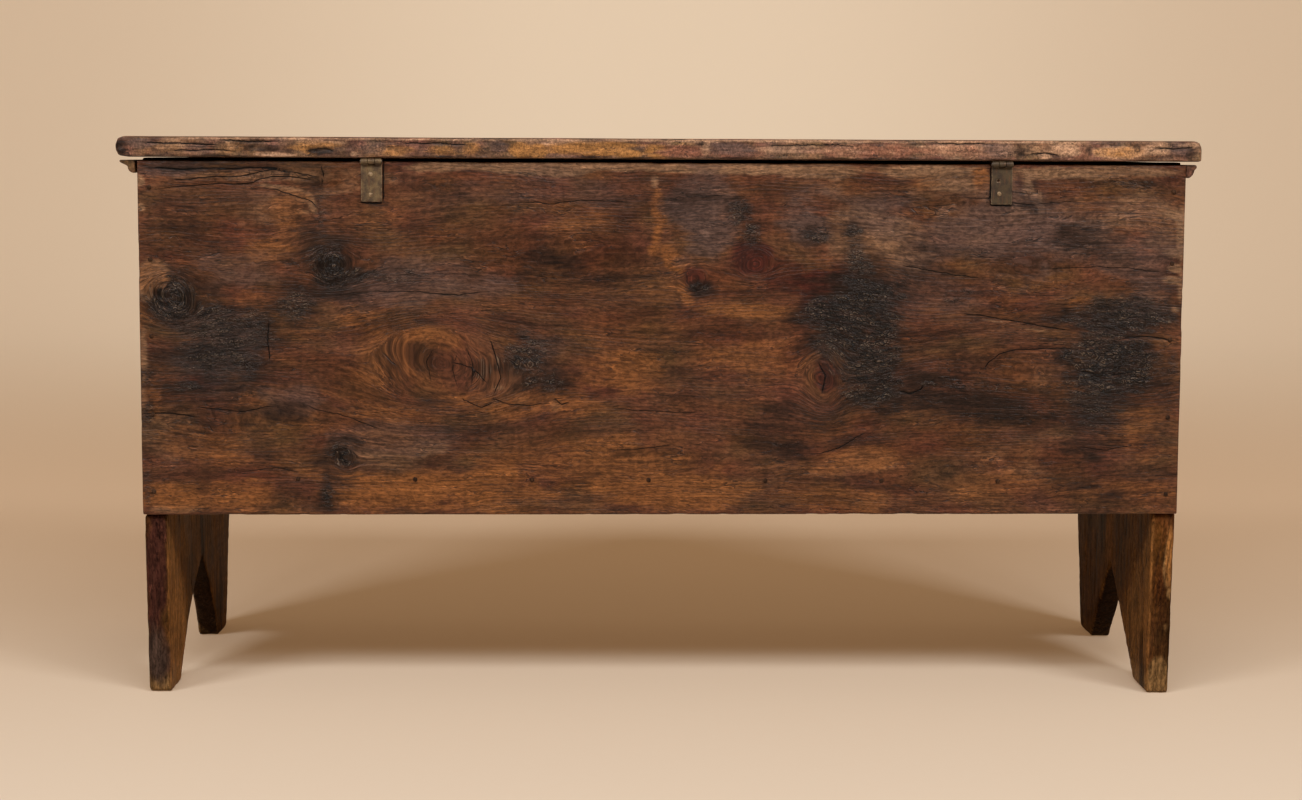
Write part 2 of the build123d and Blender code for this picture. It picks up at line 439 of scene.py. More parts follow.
def makeGrainGroup():
    tree, given = newGroup("oldGrain", {"Grain": None, "Ring": 5 * mm, "Tilt": 0.5})
    grain = given["Grain"]
    _, across, through = parts(grain)
    radius = through * given["Tilt"] + across + waves(grain, (5, 30, 30)) * (16 * mm) - 8 * mm
    phase = (radius / given["Ring"]).math("FRACT")
    line = remap(phase, 0.3, 0.85) ** 1.6 * remap(phase, 0.86, 1.0, 1.0, 0.0)
    line = line * remap(waves(grain, (9, 40, 40)), 0.4, 0.62, 0.1, 1.0)
    fibre = waves(grain, (45, 820, 820), 2, 0.65)
    streak = waves(grain, (9, 80, 80), 4, 0.6, 0.3)
    blotch = waves(grain, (9, 22, 22), 4, 0.6, 0.4)
    crinkle = waves(grain, (150, 380, 380), 3, 0.62, 0.5)
    ridge = waves(grain, (10, 290, 290), 2, 0.5, 0.2)
    # thin creases where a wavy noise passes its middle, here and there; in the colour each is painted shade,
    # with a painted highlight along its lip
    wrinkle = waves(grain, (15, 95, 95), 3, 0.6, 0.5)
    rare = remap(waves(grain, (16, 38, 38), 3, 0.6), 0.46, 0.6)
    crease = remap(abs(wrinkle - 0.5), 0.0, 0.016, 1.0, 0.0) * rare
    lipHighlight = remap(abs(wrinkle - 0.528), 0.0, 0.014, 1.0, 0.0) * rare
    height = line * 0.3 + fibre * 0.2 + crinkle * 0.9 + ridge - crease * 0.9
    found = {"Line": line, "Fibre": fibre, "Ridge": ridge, "Crease": crease, "Lip": lipHighlight}
    return closeGroup(tree, **found, Streak=streak, Blotch=blotch, Crinkle=crinkle, Height=height)


def makeCharGroup():
    tree, given = newGroup("charCrust", {"Grain": None, "Char": 0.0, "Streak": 0.5})
    grain = given["Grain"]
    ragged = waves(grain, (60, 150, 150), 4, 0.75)
    edge = given["Char"] + ragged * 2.2 - 1.15 + given["Streak"] * 0.9 - 0.45
    mask = remap(edge, 0.1, 1.1) * remap(given["Char"], 0.0, 0.4)
    bend = stretched(noiseNode(grain, (80, 160, 160))["Color"], 1.6, 1.6, 1.6)
    bent = vectorSum("ADD", stretched(grain, 130, 260, 260), bend)
    cells = put(tree, "TexVoronoi", {"Vector": bent, "Scale": 1.0}, feature="DISTANCE_TO_EDGE")["Distance"]
    crack = remap(cells, 0.0, 0.15, 1.0, 0.0)
    ripples = waves(grain, (90, 280, 280), 4, 0.7, 0.8)
    # painted glints: light lines along the lips of the crackle, in clusters, standing in for highlights
    lips = remap(abs(cells - 0.19), 0.0, 0.08, 1.0, 0.0)
    clusters = remap(waves(grain, (38, 90, 90), 4, 0.7), 0.42, 0.58)
    glint = lips * clusters * remap(ripples, 0.42, 0.56)
    return closeGroup(tree, Mask=mask, Crack=crack, Glint=glint, Height=ripples * 2.6 - crack * 0.7)


def makeCrackGroup():
    tree, given = newGroup("splits", {"Grain": None, "Side": 8.0, "Depth": 0.0})
    away = abs(given["Side"] + waves(given["Grain"], (90, 140, 140), 3, 0.6) * 3 - 1.5)
    width = (given["Depth"] * 1.3).math("MAXIMUM", 0.05)
    inside = remap(away / width, 0.4, 1.0, 1.0, 0.0)
    return closeGroup(tree, Mask=inside * remap(given["Depth"], 0.05, 0.4))


def makeVeilGroup():
    # a soft patch whose edge breaks up along the grain
    tree, given = newGroup("brokenVeil", {"Amount": 0.0, "Broken": 0.0})
    edge = remap(given["Amount"] + given["Broken"], 0.0, 0.85)
    return closeGroup(tree, Mask=edge * remap(given["Amount"], 0.0, 0.35))


oldGrain = makeGrainGroup()
charCrust = makeCharGroup()
splits = makeCrackGroup()
brokenVeil = makeVeilGroup()


def bareWood(grain, wood, tint):
    depth = wood["Streak"] * 0.55 + wood["Blotch"] * 0.45
    color = mixColor(remap(depth, 0.38, 0.6), tint["deep"], tint["body"])
    color = mixColor(remap(wood["Blotch"], 0.42, 0.68, 0.0, 0.7), color, tint["warm"])
    hue = stretched(noiseNode(grain, (14, 26, 26), 3.0)["Color"], 0.7, 0.55, 0.9)
    return vectorSum("MULTIPLY", color, vectorSum("ADD", hue, (0.65, 0.72, 0.55)))


def agedWood(color, marks, wood, fleck, look, tint):
    # each patch is broken along the grain in its own way; the late wood shows through all but the dark
    broken = wood["Streak"] * 0.5 - 0.95 + wood["Blotch"] + fleck * 0.4
    for key, share in (("light", 1), ("orange", 1), ("red", -0.8), ("grey", -0.5), ("dark", -1.2)):
        if key == "dark":
            color = mixColor(wood["Line"] * look["lines"], color, tint["late"])
        mask = use(broken.tree, brokenVeil, Amount=marks[key], Broken=broken * share)["Mask"]
        color = mixColor(mask, color, tint[key])
    return color


def woodShade(grain, wood, fleck, look):
    # light and shade of hollows, saw marks, fibres and creases
    shade = remap(read(grain.tree, "hollow")["Fac"], -0.6, 0.6, 1.16, 0.8)
    shade = shade * remap(waves(grain, (170, 5, 5), 1), 0.3, 0.7, 0.94, 1.06)
    for value, low, key, rise in (
        (wood["Fibre"], 0.3, "fibres", 0.6),
        (wood["Crinkle"], 0.34, "crinkle", 0.8),
        (fleck, 0.32, "flecks", 1),
        (wood["Ridge"], 0.34, "ridges", 0.8),
    ):
        shade = shade * remap(value, low, 1 - low, 1 - look[key], 1 + look[key] * rise)
    return shade * (wood["Crease"] * -0.6 + 1) * (wood["Lip"] * look["lips"] + 1)


def burntWood(color, wood, crust, look, tint):
    black = mixColor(crust["Crack"], tint["char"], tint["soot"])
    burnt = crust["Mask"] * remap(wood["Crinkle"], 0.36, 0.62, 1.0, 0.7)
    # painted highlights: the glints on the crust
    glint = crust["Glint"] * remap(crust["Mask"], 0.1, 0.5) * look["glints"]
    return mixColor(glint, mixColor(burnt, color, black), tint["glint"])


def wornWood(grain, edge, look):
    width = look["wearWidth"]
    band = waves(grain, (45, 150, 150), 4, 0.65) * (width * 2) - width * 0.6
    return remap(band - edge, 0.0, width * 0.6) * look["wear"]


def woodMaterial(name, look):
    material, tree = newMaterial(name)
    tint = tints(look)
    grain = read(tree, "grain")["Vector"]
    charred, dark, grey = parts(read(tree, "burn")["Vector"])
    red, orange, light = parts(read(tree, "hue")["Vector"])
    edge, crackSide, crackDepth = parts(read(tree, "trim")["Vector"])
    marks = {"dark": dark, "grey": grey, "red": red, "orange": orange, "light": light}
    wood = use(tree, oldGrain, Grain=grain, Ring=look["ring"] * mm, Tilt=look["tilt"])
    crust = use(tree, charCrust, Grain=grain, Char=charred, Streak=wood["Streak"])
    split = use(tree, splits, Grain=grain, Side=crackSide, Depth=crackDepth)["Mask"]
    fleck = waves(grain, (34, 210, 210), 3, 0.7)
    speck = waves(grain, (110, 260, 260), 4, 0.75)
    worn = wornWood(grain, edge, look)

    color = agedWood(bareWood(grain, wood, tint), marks, wood, fleck, look, tint)
    color = brightened(color, woodShade(grain, wood, fleck, look))
    color = mixColor(remap(speck, 0.55, 0.7) * look["dirt"], color, tint["soot"])
    color = burntWood(color, wood, crust, look, tint)
    color = mixColor(worn, color, tint["worn"])
    color = mixColor(split, color, tint["soot"])

    even = look["rough"]
    rough = remap(wood["Blotch"], 0.3, 0.7, even - 0.08, even + 0.08)
    rough = rough + crust["Mask"] * (look["charRough"] - even) + worn * 0.15
    height = (wood["Height"] + speck * 0.4) * look["relief"] - split * 1.6
    height = height + crust["Mask"] * crust["Height"] * look["charRelief"]
    coat(tree, color, rough, look["gloss"], {"Strength": 1.0, "Distance": 1 * mm, "Height": height})
    return material


# Camera, backdrop and light

camera = {
    "lens": 66.11,
    "place": (-0.05175, -2.98715, 0.6322),
    "down": 0.1031,
    "right": 0.0155,
    "roll": 0.0049,
}


def makeCamera():
    down = camera["down"]
    yaw = camera["right"]
    roll = camera["roll"]
    ahead = Vector((math.sin(yaw) * math.cos(down), math.cos(yaw) * math.cos(down), -math.sin(down)))
    right = Vector((math.cos(yaw), -math.sin(yaw), 0))
    up = right.cross(ahead)
    rolledRight = right * math.cos(roll) + up * math.sin(roll)
    rolledUp = up * math.cos(roll) - right * math.sin(roll)
    turn = Matrix((rolledRight, rolledUp, -ahead)).transposed().to_4x4()
    data = bpy.data.cameras.new("camera")
    data.lens = camera["lens"]
    data.sensor_width = 36
    data.sensor_fit = "HORIZONTAL"
    data.clip_end = 40
    made = bpy.data.objects.new("camera", data)
    made.matrix_world = Matrix.Translation(camera["place"]) @ turn
    scene.collection.objects.link(made)
    scene.camera = made


stage = {
    "color": (200, 192, 179),
    "farColor": (212, 191, 167),
    "mottle": (200, 165, 132),
    # painted light: a warm glow seen all over the paper, which lifts its shadow, then a further glow in its
    # far part
    "warmth": (113, 84, 56),
    "glow": (236, 232, 213),
    "glowLevel": 0.4,
    "radius": 6.5,
    "bend": 1.6,
    "height": 5.0,
    "world": (1.0, 0.72, 0.46, 1),
    "worldLevel": 0.22,
    # each lamp: place, aim, width and height, power, colour
    "lamps": {
        "key": ((0.1, -2.6, 3.2), (0, -0.2, 0.2), (2.6, 0.5), 56, (1.0, 0.985, 0.97)),
        "left": ((-2.5, -2.95, 2.8), (0, -0.1, 0.3), (1.4, 0.6), 76, (1.0, 0.985, 0.97)),
        "right": ((2.5, -2.95, 2.8), (0, -0.1, 0.3), (1.4, 0.6), 79, (1.0, 0.985, 0.97)),
    },
}


def paper(name):
    material, tree = newMaterial(name)
    tint = tints(stage)
    where = put(tree, "TexCoord")["Object"]
    across, back, _ = parts(where)
    color = mixColor(remap(back, -1.2, 1.8), tint["color"], tint["farColor"])
    color = mixColor(waves(where, 40, 4, 0.6) * 0.06, color, tint["mottle"])
    # painted light: for the camera the paper glows a little warm all over, which lifts its shadow, and glows
    # more in its far part, most of all behind the middle
    away = put(tree, "VectorMath", {0: where}, operation="LENGTH")["Value"]
    aside = remap(abs(across - 0.12), 0.2, 2.6, 1.0, 0.6)
    glow = brightened(tint["glow"][:3], remap(away, 1.0, 6.0) * aside * stage["glowLevel"])
    glow = vectorSum("ADD", glow, tint["warmth"][:3])
    seen = put(tree, "LightPath")["Is Camera Ray"]
    coat(tree, color, 0.92, 0.15, **{"Emission Color": glow, "Emission Strength": seen})
    return material


def makeStage():
    bend = stage["bend"]
    flat = stage["radius"] - bend
    profile = [(flat, 0.0)]
    for step in range(1, 13):
        angle = math.radians(90 * step / 12)
        profile.append((flat + bend * math.sin(angle), bend * (1 - math.cos(angle))))
    profile.append((stage["radius"], stage["height"]))
    ring = 96
    points = [(0.0, 0.0, 0.0)]
    for out, height in profile:
        for step in range(ring):
            angle = 2 * math.pi * step / ring
            points.append((out * math.cos(angle), out * math.sin(angle), height))
    faces = [(0, 1 + step, 1 + (step + 1) % ring) for step in range(ring)]
    for level in range(len(profile) - 1):
        low = 1 + level * ring
        for step in range(ring):
            following = (step + 1) % ring
            faces.append((low + step, low + ring + step, low + ring + following, low + following))
    mesh = newMesh("backdrop", points, faces)
    smoothShaded(mesh)
    mesh.materials.append(paper("backdropPaper"))
    floor = bpy.data.objects.new("backdrop", mesh)
    scene.collection.objects.link(floor)


def makeLamp(name, spot, aim, size, power, color):
    data = bpy.data.lights.new(name, "AREA")
    data.shape = "RECTANGLE"
    data.size = size[0]
    data.size_y = size[1]
    data.energy = power
    data.color = color
    lamp = bpy.data.objects.new(name, data)
    lamp.location = spot
    lamp.rotation_euler = (Vector(aim) - Vector(spot)).to_track_quat("-Z", "Y").to_euler()
    lamp.visible_camera = False
    scene.collection.objects.link(lamp)


def makeLight():
    for name, facts in stage["lamps"].items():
        makeLamp(name, *facts)
    world = bpy.data.worlds.new("world")
    world.use_nodes = True
    background = world.node_tree.nodes["Background"]
    background.inputs["Color"].default_value = stage["world"]
    background.inputs["Strength"].default_value = stage["worldLevel"]
    scene.world = world
    scene.view_settings.view_transform = "Standard"


makeCamera()
makeStage()
makeLight()
print("camera, backdrop and light made")


# A board made from the fine grid, with its relief and what its material reads


def boardGrid(node, spec):
    low, high = boxOf(node)
    lines = [
        gridLines(low[axis], high[axis], spec["step"][axis] * mm, spec["edgeStep"] * mm, spec["band"] * mm)
        for axis in range(3)
    ]
    points, faces = surfaceGrid(lines, spec["coarse"])
    for (u, v), radii in spec["corners"].items():
        roundCorners(points, low, high, u, v, [radius * mm for radius in radii])
    return low, high, points, faces


def wornEdges(points, edge, spec):
    # how far a handled edge has gone, in millimetres
    chips = soften(noise(points, 26, spec["seed"], 3) * 2.2 - 0.25)
    long = 0.5 + 0.5 * noise(points, (90, 60, 60), spec["seed"] + 7, 2)
    return np.exp(-edge / 2.2) * (spec["edgeWear"] * long + spec["chips"] * chips)


def carve(mesh, points, node, spec, edge, shape, *extra):
    # relief goes inwards only, so the board keeps its size
    normals = meshNormals(mesh)
    made = shape(points, normals, edge, spec, *extra)
    depth = made["depth"] + wornEdges(points, edge, spec)
    setPoints(mesh, np.clip(points - normals * (depth * mm)[:, None], *boxOf(node)))
    for name in ("grain", "burn", "hue"):
        attach(mesh, name, made[name])
    attach(mesh, "trim", columns(edge, made["side"], made["crack"]))
    attach(mesh, "hollow", made["depth"] - np.median(made["depth"]))


def finishBoard(name, node, body, slot, material, spec, shape, *extra):
    low, high, points, faces = boardGrid(node, spec)
    edge = boxEdge(points, low, high)
    if "lowEdges" in spec:
        slopeLowEdge(points, low, high, *spec["lowEdges"])
    mesh = newMesh(name, points, faces)
    carve(mesh, points, node, spec, edge, shape, *extra)
    place(name, mesh, material, body, slot, node)


# Back board: the face with the hinges, scorched and knotty

backBoard = {
    "step": (3.2, 3.0, 2.05),
    "edgeStep": 1.0,
    "band": 4.0,
    "coarse": {(1, 1): (4, 4)},
    "corners": {(1, 2): (1.2, 1.2, 1.5, 2.5), (0, 2): (1.5, 1.5, 1.2, 1.2), (0, 1): (1.4, 1.4, 1.2, 1.2)},
    "edgeWear": 0.7,
    "chips": 1.5,
    "seed": 11,
    # the lower edge lies on shoulders at two heights
    "lowEdges": (212.5, 216.8),
    "knots": [
        (-559, 464, 24, 24, 0), (-375, 502, 22, 18, 10), (-252, 388, 74, 40, -6), (-363, 278, 11, 10, 0),
        (108, 508, 17, 14, 12), (41, 488, 13, 11, 0), (190, 373, 18, 24, 0),
    ],
    "swells": [
        (236, 440, 60, 60, 16), (528, 400, 70, 50, 18), (-429, 604, 60, 14, 9), (411, 390, 90, 34, 22),
        (-480, 330, 80, 30, 16), (-60, 310, 130, 40, 18), (330, 560, 160, 40, 6), (-120, 520, 120, 36, 16),
        (360, 270, 150, 34, 14),
    ],
    "char": [
        (-559, 464, 25, 25, 1.0), (-499, 407, 46, 38, 0.85, -25), (-472, 420, 26, 30, 0.8),
        (-375, 502, 26, 21, 1.0), (-417, 459, 18, 20, 0.75), (-303, 490, 46, 8, 0.5, -3),
        (-158, 393, 34, 32, 0.85), (-128, 376, 22, 16, 0.6), (-205, 380, 16, 24, 0.6),
        (-363, 278, 12, 12, 0.9), (-383, 240, 9, 22, 0.8), (45, 477, 11, 6, 1.0),
        (226, 522, 12, 36, 0.75, 8), (92, 566, 15, 13, 0.8), (106, 542, 11, 15, 0.75),
        (228, 445, 46, 42, 1.0, -20), (246, 388, 34, 46, 0.95, -12), (206, 410, 30, 24, 0.7),
        (178, 537, 18, 12, 0.6), (549, 449, 48, 30, 0.8, -6), (522, 398, 48, 44, 1.0),
        (508, 340, 30, 28, 0.65, 20), (346, 470, 21, 8, 0.55, 8), (436, 584, 12, 16, 0.45),
        (420, 603, 8, 12, 0.4), (540, 600, 40, 5, 0.5), (-540, 362, 20, 7, 0.5), (-590, 330, 8, 12, 0.6),
        (-590, 250, 7, 26, 0.5), (-592, 375, 8, 10, 0.5), (-420, 505, 14, 8, 0.45),
        (-388, 556, 10, 30, 0.4), (300, 375, 60, 7, 0.4, -6), (380, 365, 80, 5, 0.35, -4),
        (480, 440, 50, 5, 0.4, -8), (590, 500, 8, 10, 0.5), (594, 395, 6, 22, 0.5),
    ],
    "dark": [
        (-265, 575, 42, 30, 0.45), (-546, 545, 44, 24, 0.35), (-406, 560, 18, 40, 0.5),
        (-437, 333, 30, 14, 0.6), (-462, 303, 22, 34, 0.55, 20), (-561, 380, 34, 24, 0.5),
        (-370, 262, 26, 32, 0.5), (-134, 505, 46, 20, 0.42), (-60, 480, 60, 16, 0.3),
        (-290, 440, 70, 12, 0.35, -6), (-90, 412, 22, 10, 0.3), (-256, 345, 24, 14, 0.45),
        (46, 560, 44, 46, 0.4), (60, 425, 46, 10, 0.35), (130, 300, 42, 44, 0.5), (172, 346, 44, 34, 0.5),
        (278, 499, 46, 40, 0.5, -30), (287, 366, 60, 32, 0.6, -12), (372, 336, 110, 16, 0.6, -4),
        (325, 497, 56, 9, 0.45, -5), (510, 530, 62, 22, 0.45), (420, 415, 60, 34, 0.3),
        (505, 318, 40, 38, 0.6), (-20, 345, 60, 10, 0.3), (346, 438, 52, 30, 0.35),
        (470, 240, 90, 16, 0.35), (-210, 310, 70, 14, 0.25), (14, 284, 74, 14, 0.3),
        (560, 300, 26, 40, 0.3), (-223, 373, 30, 24, 0.5), (430, 588, 16, 22, 0.4),
        # (-500, 614) along the board's top edge is painted shadow under the lid's overhang
        (-252, 388, 84, 46, 0.3, -6), (-500, 614, 90, 7, 0.5), (-400, 592, 14, 12, 0.5),
        (250, 470, 70, 60, 0.5), (300, 420, 100, 60, 0.35), (520, 430, 90, 50, 0.35),
        (-520, 330, 60, 20, 0.35),
    ],
    "grey": [
        (420, 545, 130, 50, 0.55), (250, 565, 60, 36, 0.5), (540, 520, 50, 40, 0.5),
        (-120, 590, 160, 24, 0.3), (49, 568, 40, 46, 0.75), (171, 553, 30, 40, 0.65),
        (-424, 353, 40, 24, 0.45), (-262, 480, 90, 26, 0.5), (-480, 500, 60, 30, 0.35),
        (-499, 400, 48, 44, 0.6), (300, 470, 70, 40, 0.4), (560, 470, 34, 40, 0.55),
        (480, 560, 80, 30, 0.35), (-300, 300, 80, 26, 0.35), (-150, 402, 50, 30, 0.5),
        (-560, 610, 40, 6, 0.5),
    ],
    "red": [
        (-520, 369, 24, 11, 0.75), (106, 512, 26, 20, 0.9, 10), (150, 500, 40, 22, 0.5),
        (41, 490, 13, 11, 0.7), (184, 484, 33, 24, 0.9, 12), (190, 373, 17, 23, 0.75),
        (412, 603, 6, 11, 0.5), (300, 452, 80, 40, 0.35), (-20, 560, 90, 40, 0.2),
        (-190, 440, 60, 20, 0.25), (-540, 560, 50, 40, 0.2),
    ],
    "orange": [
        (-50, 382, 60, 26, 0.55), (-20, 396, 34, 10, 0.5), (92, 452, 60, 10, 0.55), (-3, 575, 8, 24, 0.7),
        (-2, 545, 9, 24, 0.8, -12), (14, 512, 9, 20, 0.7, 28), (30, 468, 8, 16, 0.6, 24),
        (-310, 430, 50, 13, 0.45, -6), (-250, 418, 40, 13, 0.3, -18), (-80, 540, 56, 30, 0.35),
        (-451, 520, 36, 20, 0.45), (-425, 556, 26, 30, 0.4), (240, 278, 80, 14, 0.45, 3),
        (369, 604, 11, 13, 0.7), (300, 598, 20, 12, 0.4), (486, 462, 15, 10, 0.7), (474, 361, 16, 12, 0.6),
        (26, 243, 90, 20, 0.65), (-60, 275, 130, 26, 0.45), (-225, 246, 80, 26, 0.85),
        (-345, 244, 60, 24, 0.75), (-340, 320, 90, 24, 0.4), (-561, 236, 40, 18, 0.65),
        (-480, 236, 60, 20, 0.65), (-520, 290, 50, 24, 0.4), (200, 234, 80, 16, 0.4),
        (400, 250, 90, 20, 0.35), (-160, 340, 90, 20, 0.5), (-330, 385, 50, 40, 0.35),
        (-40, 450, 90, 60, 0.25), (560, 330, 30, 60, 0.3), (110, 400, 60, 26, 0.35),
        (-470, 460, 22, 22, 0.3), (-580, 490, 20, 20, 0.4), (-300, 560, 20, 40, 0.2),
        (540, 245, 50, 18, 0.4), (-582, 345, 10, 20, 0.4),
    ],
    "light": [
        (-447, 565, 46, 30, 0.28), (-320, 604, 60, 10, 0.4), (332, 585, 90, 32, 0.4),
        (540, 560, 60, 40, 0.35), (240, 274, 84, 13, 0.3, 3), (408, 268, 90, 22, 0.2),
        (-310, 284, 70, 26, 0.35), (-561, 299, 36, 40, 0.3), (-578, 494, 20, 17, 0.7),
        (-588, 472, 8, 14, 0.7), (-6, 599, 7, 9, 0.8), (-430, 603, 110, 6, 0.4),
        (-360, 590, 40, 6, 0.35, 10), (-432, 590, 26, 3, 0.7, -8), (-414, 580, 14, 3, 0.7, -20),
        (-398, 572, 4, 11, 0.8, 18), (-408, 563, 8, 3, 0.7), (-593, 597, 4, 5, 0.7), (-592, 568, 4, 4, 0.7),
        # along the top edge: a pale band, the worn arris with a painted highlight where it catches the light
        (-250, 614, 60, 6, 0.8), (-130, 614, 120, 7, 1.0), (60, 614, 110, 6, 0.9), (200, 612, 60, 8, 0.7),
        (300, 612, 70, 10, 0.8), (332, 598, 46, 14, 0.75), (480, 611, 80, 9, 0.8), (560, 612, 40, 7, 0.7),
        (-560, 220, 28, 5, 0.6), (588, 565, 10, 4, 0.8), (589, 489, 10, 6, 0.8), (419, 601, 4, 16, 1.0, 6),
        (427, 590, 3, 14, 1.0, 16), (436, 579, 4, 13, 0.9, 8), (398, 560, 30, 46, 0.2),
        (230, 548, 80, 44, 0.45), (470, 552, 100, 50, 0.25),
        # thin light streaks along the grain: partly bare splinters, partly painted glints of fine ripples
        (296, 500, 18, 1.2, 0.5, -6), (346, 493, 24, 1.2, 0.5, -8), (384, 441, 16, 1.1, 0.45, -9),
        (428, 432, 20, 1.1, 0.45, -8), (462, 416, 14, 1.1, 0.45, -2), (560, 478, 22, 1.4, 0.6),
        (530, 469, 14, 1.4, 0.6, -8), (574, 456, 16, 1.4, 0.6, -10), (514, 405, 14, 1.3, 0.55, -14),
        (550, 395, 12, 1.3, 0.55, -10), (592, 520, 9, 4, 1.0), (594, 502, 8, 5, 1.0),
        (590, 487, 12, 3, 1.0, -10), (595, 455, 7, 4, 1.0), (597, 560, 6, 5, 0.9), (-592, 400, 5, 26, 0.6),
        (-593, 345, 4, 14, 0.5), (599, 540, 4, 26, 0.7), (600, 480, 4, 18, 0.6), (-185, 362, 12, 5, 0.5),
        (-160, 346, 10, 6, 0.5), (-120, 340, 8, 8, 0.6), (52, 540, 3, 5, 0.8),
    ],
    "cracks": [
        (0.8, [(-595, 612), (-540, 611), (-470, 613), (-428, 611)]),
        (0.6, [(-387, 615), (-384, 604), (-387, 592)]),
        (0.6, [
            (-562, 600), (-546, 601), (-497, 603), (-465, 606), (-445, 609), (-419, 608),
            (-399, 603), (-386, 600),
        ]),
        (0.6, [
            (-589, 585), (-546, 593), (-497, 595), (-465, 596), (-445, 601), (-425, 603),
            (-406, 600), (-390, 595),
        ]),
        (0.5, [(-448, 589), (-424, 584), (-402, 577), (-390, 565)]),
        # the lines along the sides and lower edges of the hinge leaves are painted shadow of the gap under
        # each leaf, also cut as shallow grooves
        (0.7, [(-315.5, 624), (-316, 600), (-316, 573)]), (0.8, [(-343, 574), (-330, 573.5), (-315, 574)]),
        (0.8, [(378.5, 622), (379, 600), (378.5, 574)]), (0.8, [(378, 574), (392, 573.5), (404, 574)]),
        (0.4, [(-177, 575), (-130, 573), (-90, 577), (-19, 576)]),
        (0.35, [(-60, 339), (0, 336), (52, 332)]), (0.35, [(-62, 290), (-20, 292), (20, 297)]),
        (0.4, [(483, 296), (520, 293), (556, 297)]),
        (0.5, [(-195, 352), (-178, 344), (-150, 340), (-128, 345)]),
        (0.6, [(-122, 351), (-112, 344), (-104, 347)]), (0.5, [(-240, 392), (-215, 384), (-196, 366)]),
        (0.45, [(-222, 408), (-214, 388), (-216, 362)]), (0.6, [(-448, 441), (-450, 415), (-447, 391)]),
        (0.5, [(374, 382), (380, 393), (392, 403), (414, 409), (450, 411), (490, 408)]),
        (0.5, [(346, 451), (378, 447), (430, 438), (488, 427)]),
        (0.4, [(270, 505), (320, 497), (379, 490)]),
        (0.8, [(276, 360), (290, 356), (302, 361), (306, 368)]),
        (0.5, [(183, 286), (212, 296), (242, 312)]), (0.7, [(183, 392), (192, 376), (188, 356)]),
        (0.45, [(-540, 340), (-480, 334), (-440, 338)]), (0.6, [(-596, 330), (-560, 332), (-530, 328)]),
        (0.35, [(340, 585), (420, 576), (500, 580)]), (0.35, [(440, 500), (500, 506), (590, 498)]),
        (0.6, [(530, 420), (560, 424), (598, 418)]), (0.6, [(480, 384), (520, 378), (560, 384)]),
        (0.4, [(-340, 470), (-290, 474), (-230, 468), (-190, 473)]),
        (0.35, [(-490, 262), (-440, 268), (-410, 262)]), (0.4, [(-415, 344), (-370, 330), (-313, 309)]),
        (0.5, [(-230, 350), (-205, 340), (-190, 346)]),
        (0.6, [(-196, 420), (-188, 396), (-182, 374), (-192, 352)]),
        (0.35, [(-260, 408), (-268, 390), (-262, 366)]), (0.35, [(-232, 402), (-238, 384), (-232, 360)]),
    ],
}

backLook = {
    "ring": 4.3,
    "tilt": 0.6,
    "deep": (71, 42, 27),
    "body": (91, 55, 34),
    "warm": (98, 61, 37),
    "light": (124, 91, 66),
    "orange": (126, 77, 40),
    "red": (68, 29, 20),
    "grey": (90, 68, 60),
    "late": (44, 27, 19),
    "lines": 0.34,
    "fibres": 0.18,
    "crinkle": 0.4,
    "flecks": 0.16,
    "ridges": 0.18,
    # strength of the painted highlights along the creases' lips
    "lips": 0.8,
    "dirt": 0.5,
    "dark": (40, 25, 18),
    "char": (21, 12, 7),
    "soot": (6, 3, 2),
    "glint": (124, 104, 86),
    "glints": 0.66,
    "worn": (132, 98, 70),
    "wear": 0.5,
    "wearWidth": 2.2,
    "rough": 0.36,
    "charRough": 0.34,
    "relief": 0.5,
    "charRelief": 0.7,
    "gloss": 0.2,
}


def slopeLowEdge(points, low, high, lowLeft, lowRight):
    share = np.clip((points[:, 0] - low[0]) / (high[0] - low[0]), 0, 1)
    drop = (high[2] - points[:, 2]) / (high[2] - low[2])
    points[:, 2] += (lowRight - lowLeft) * mm * share * drop


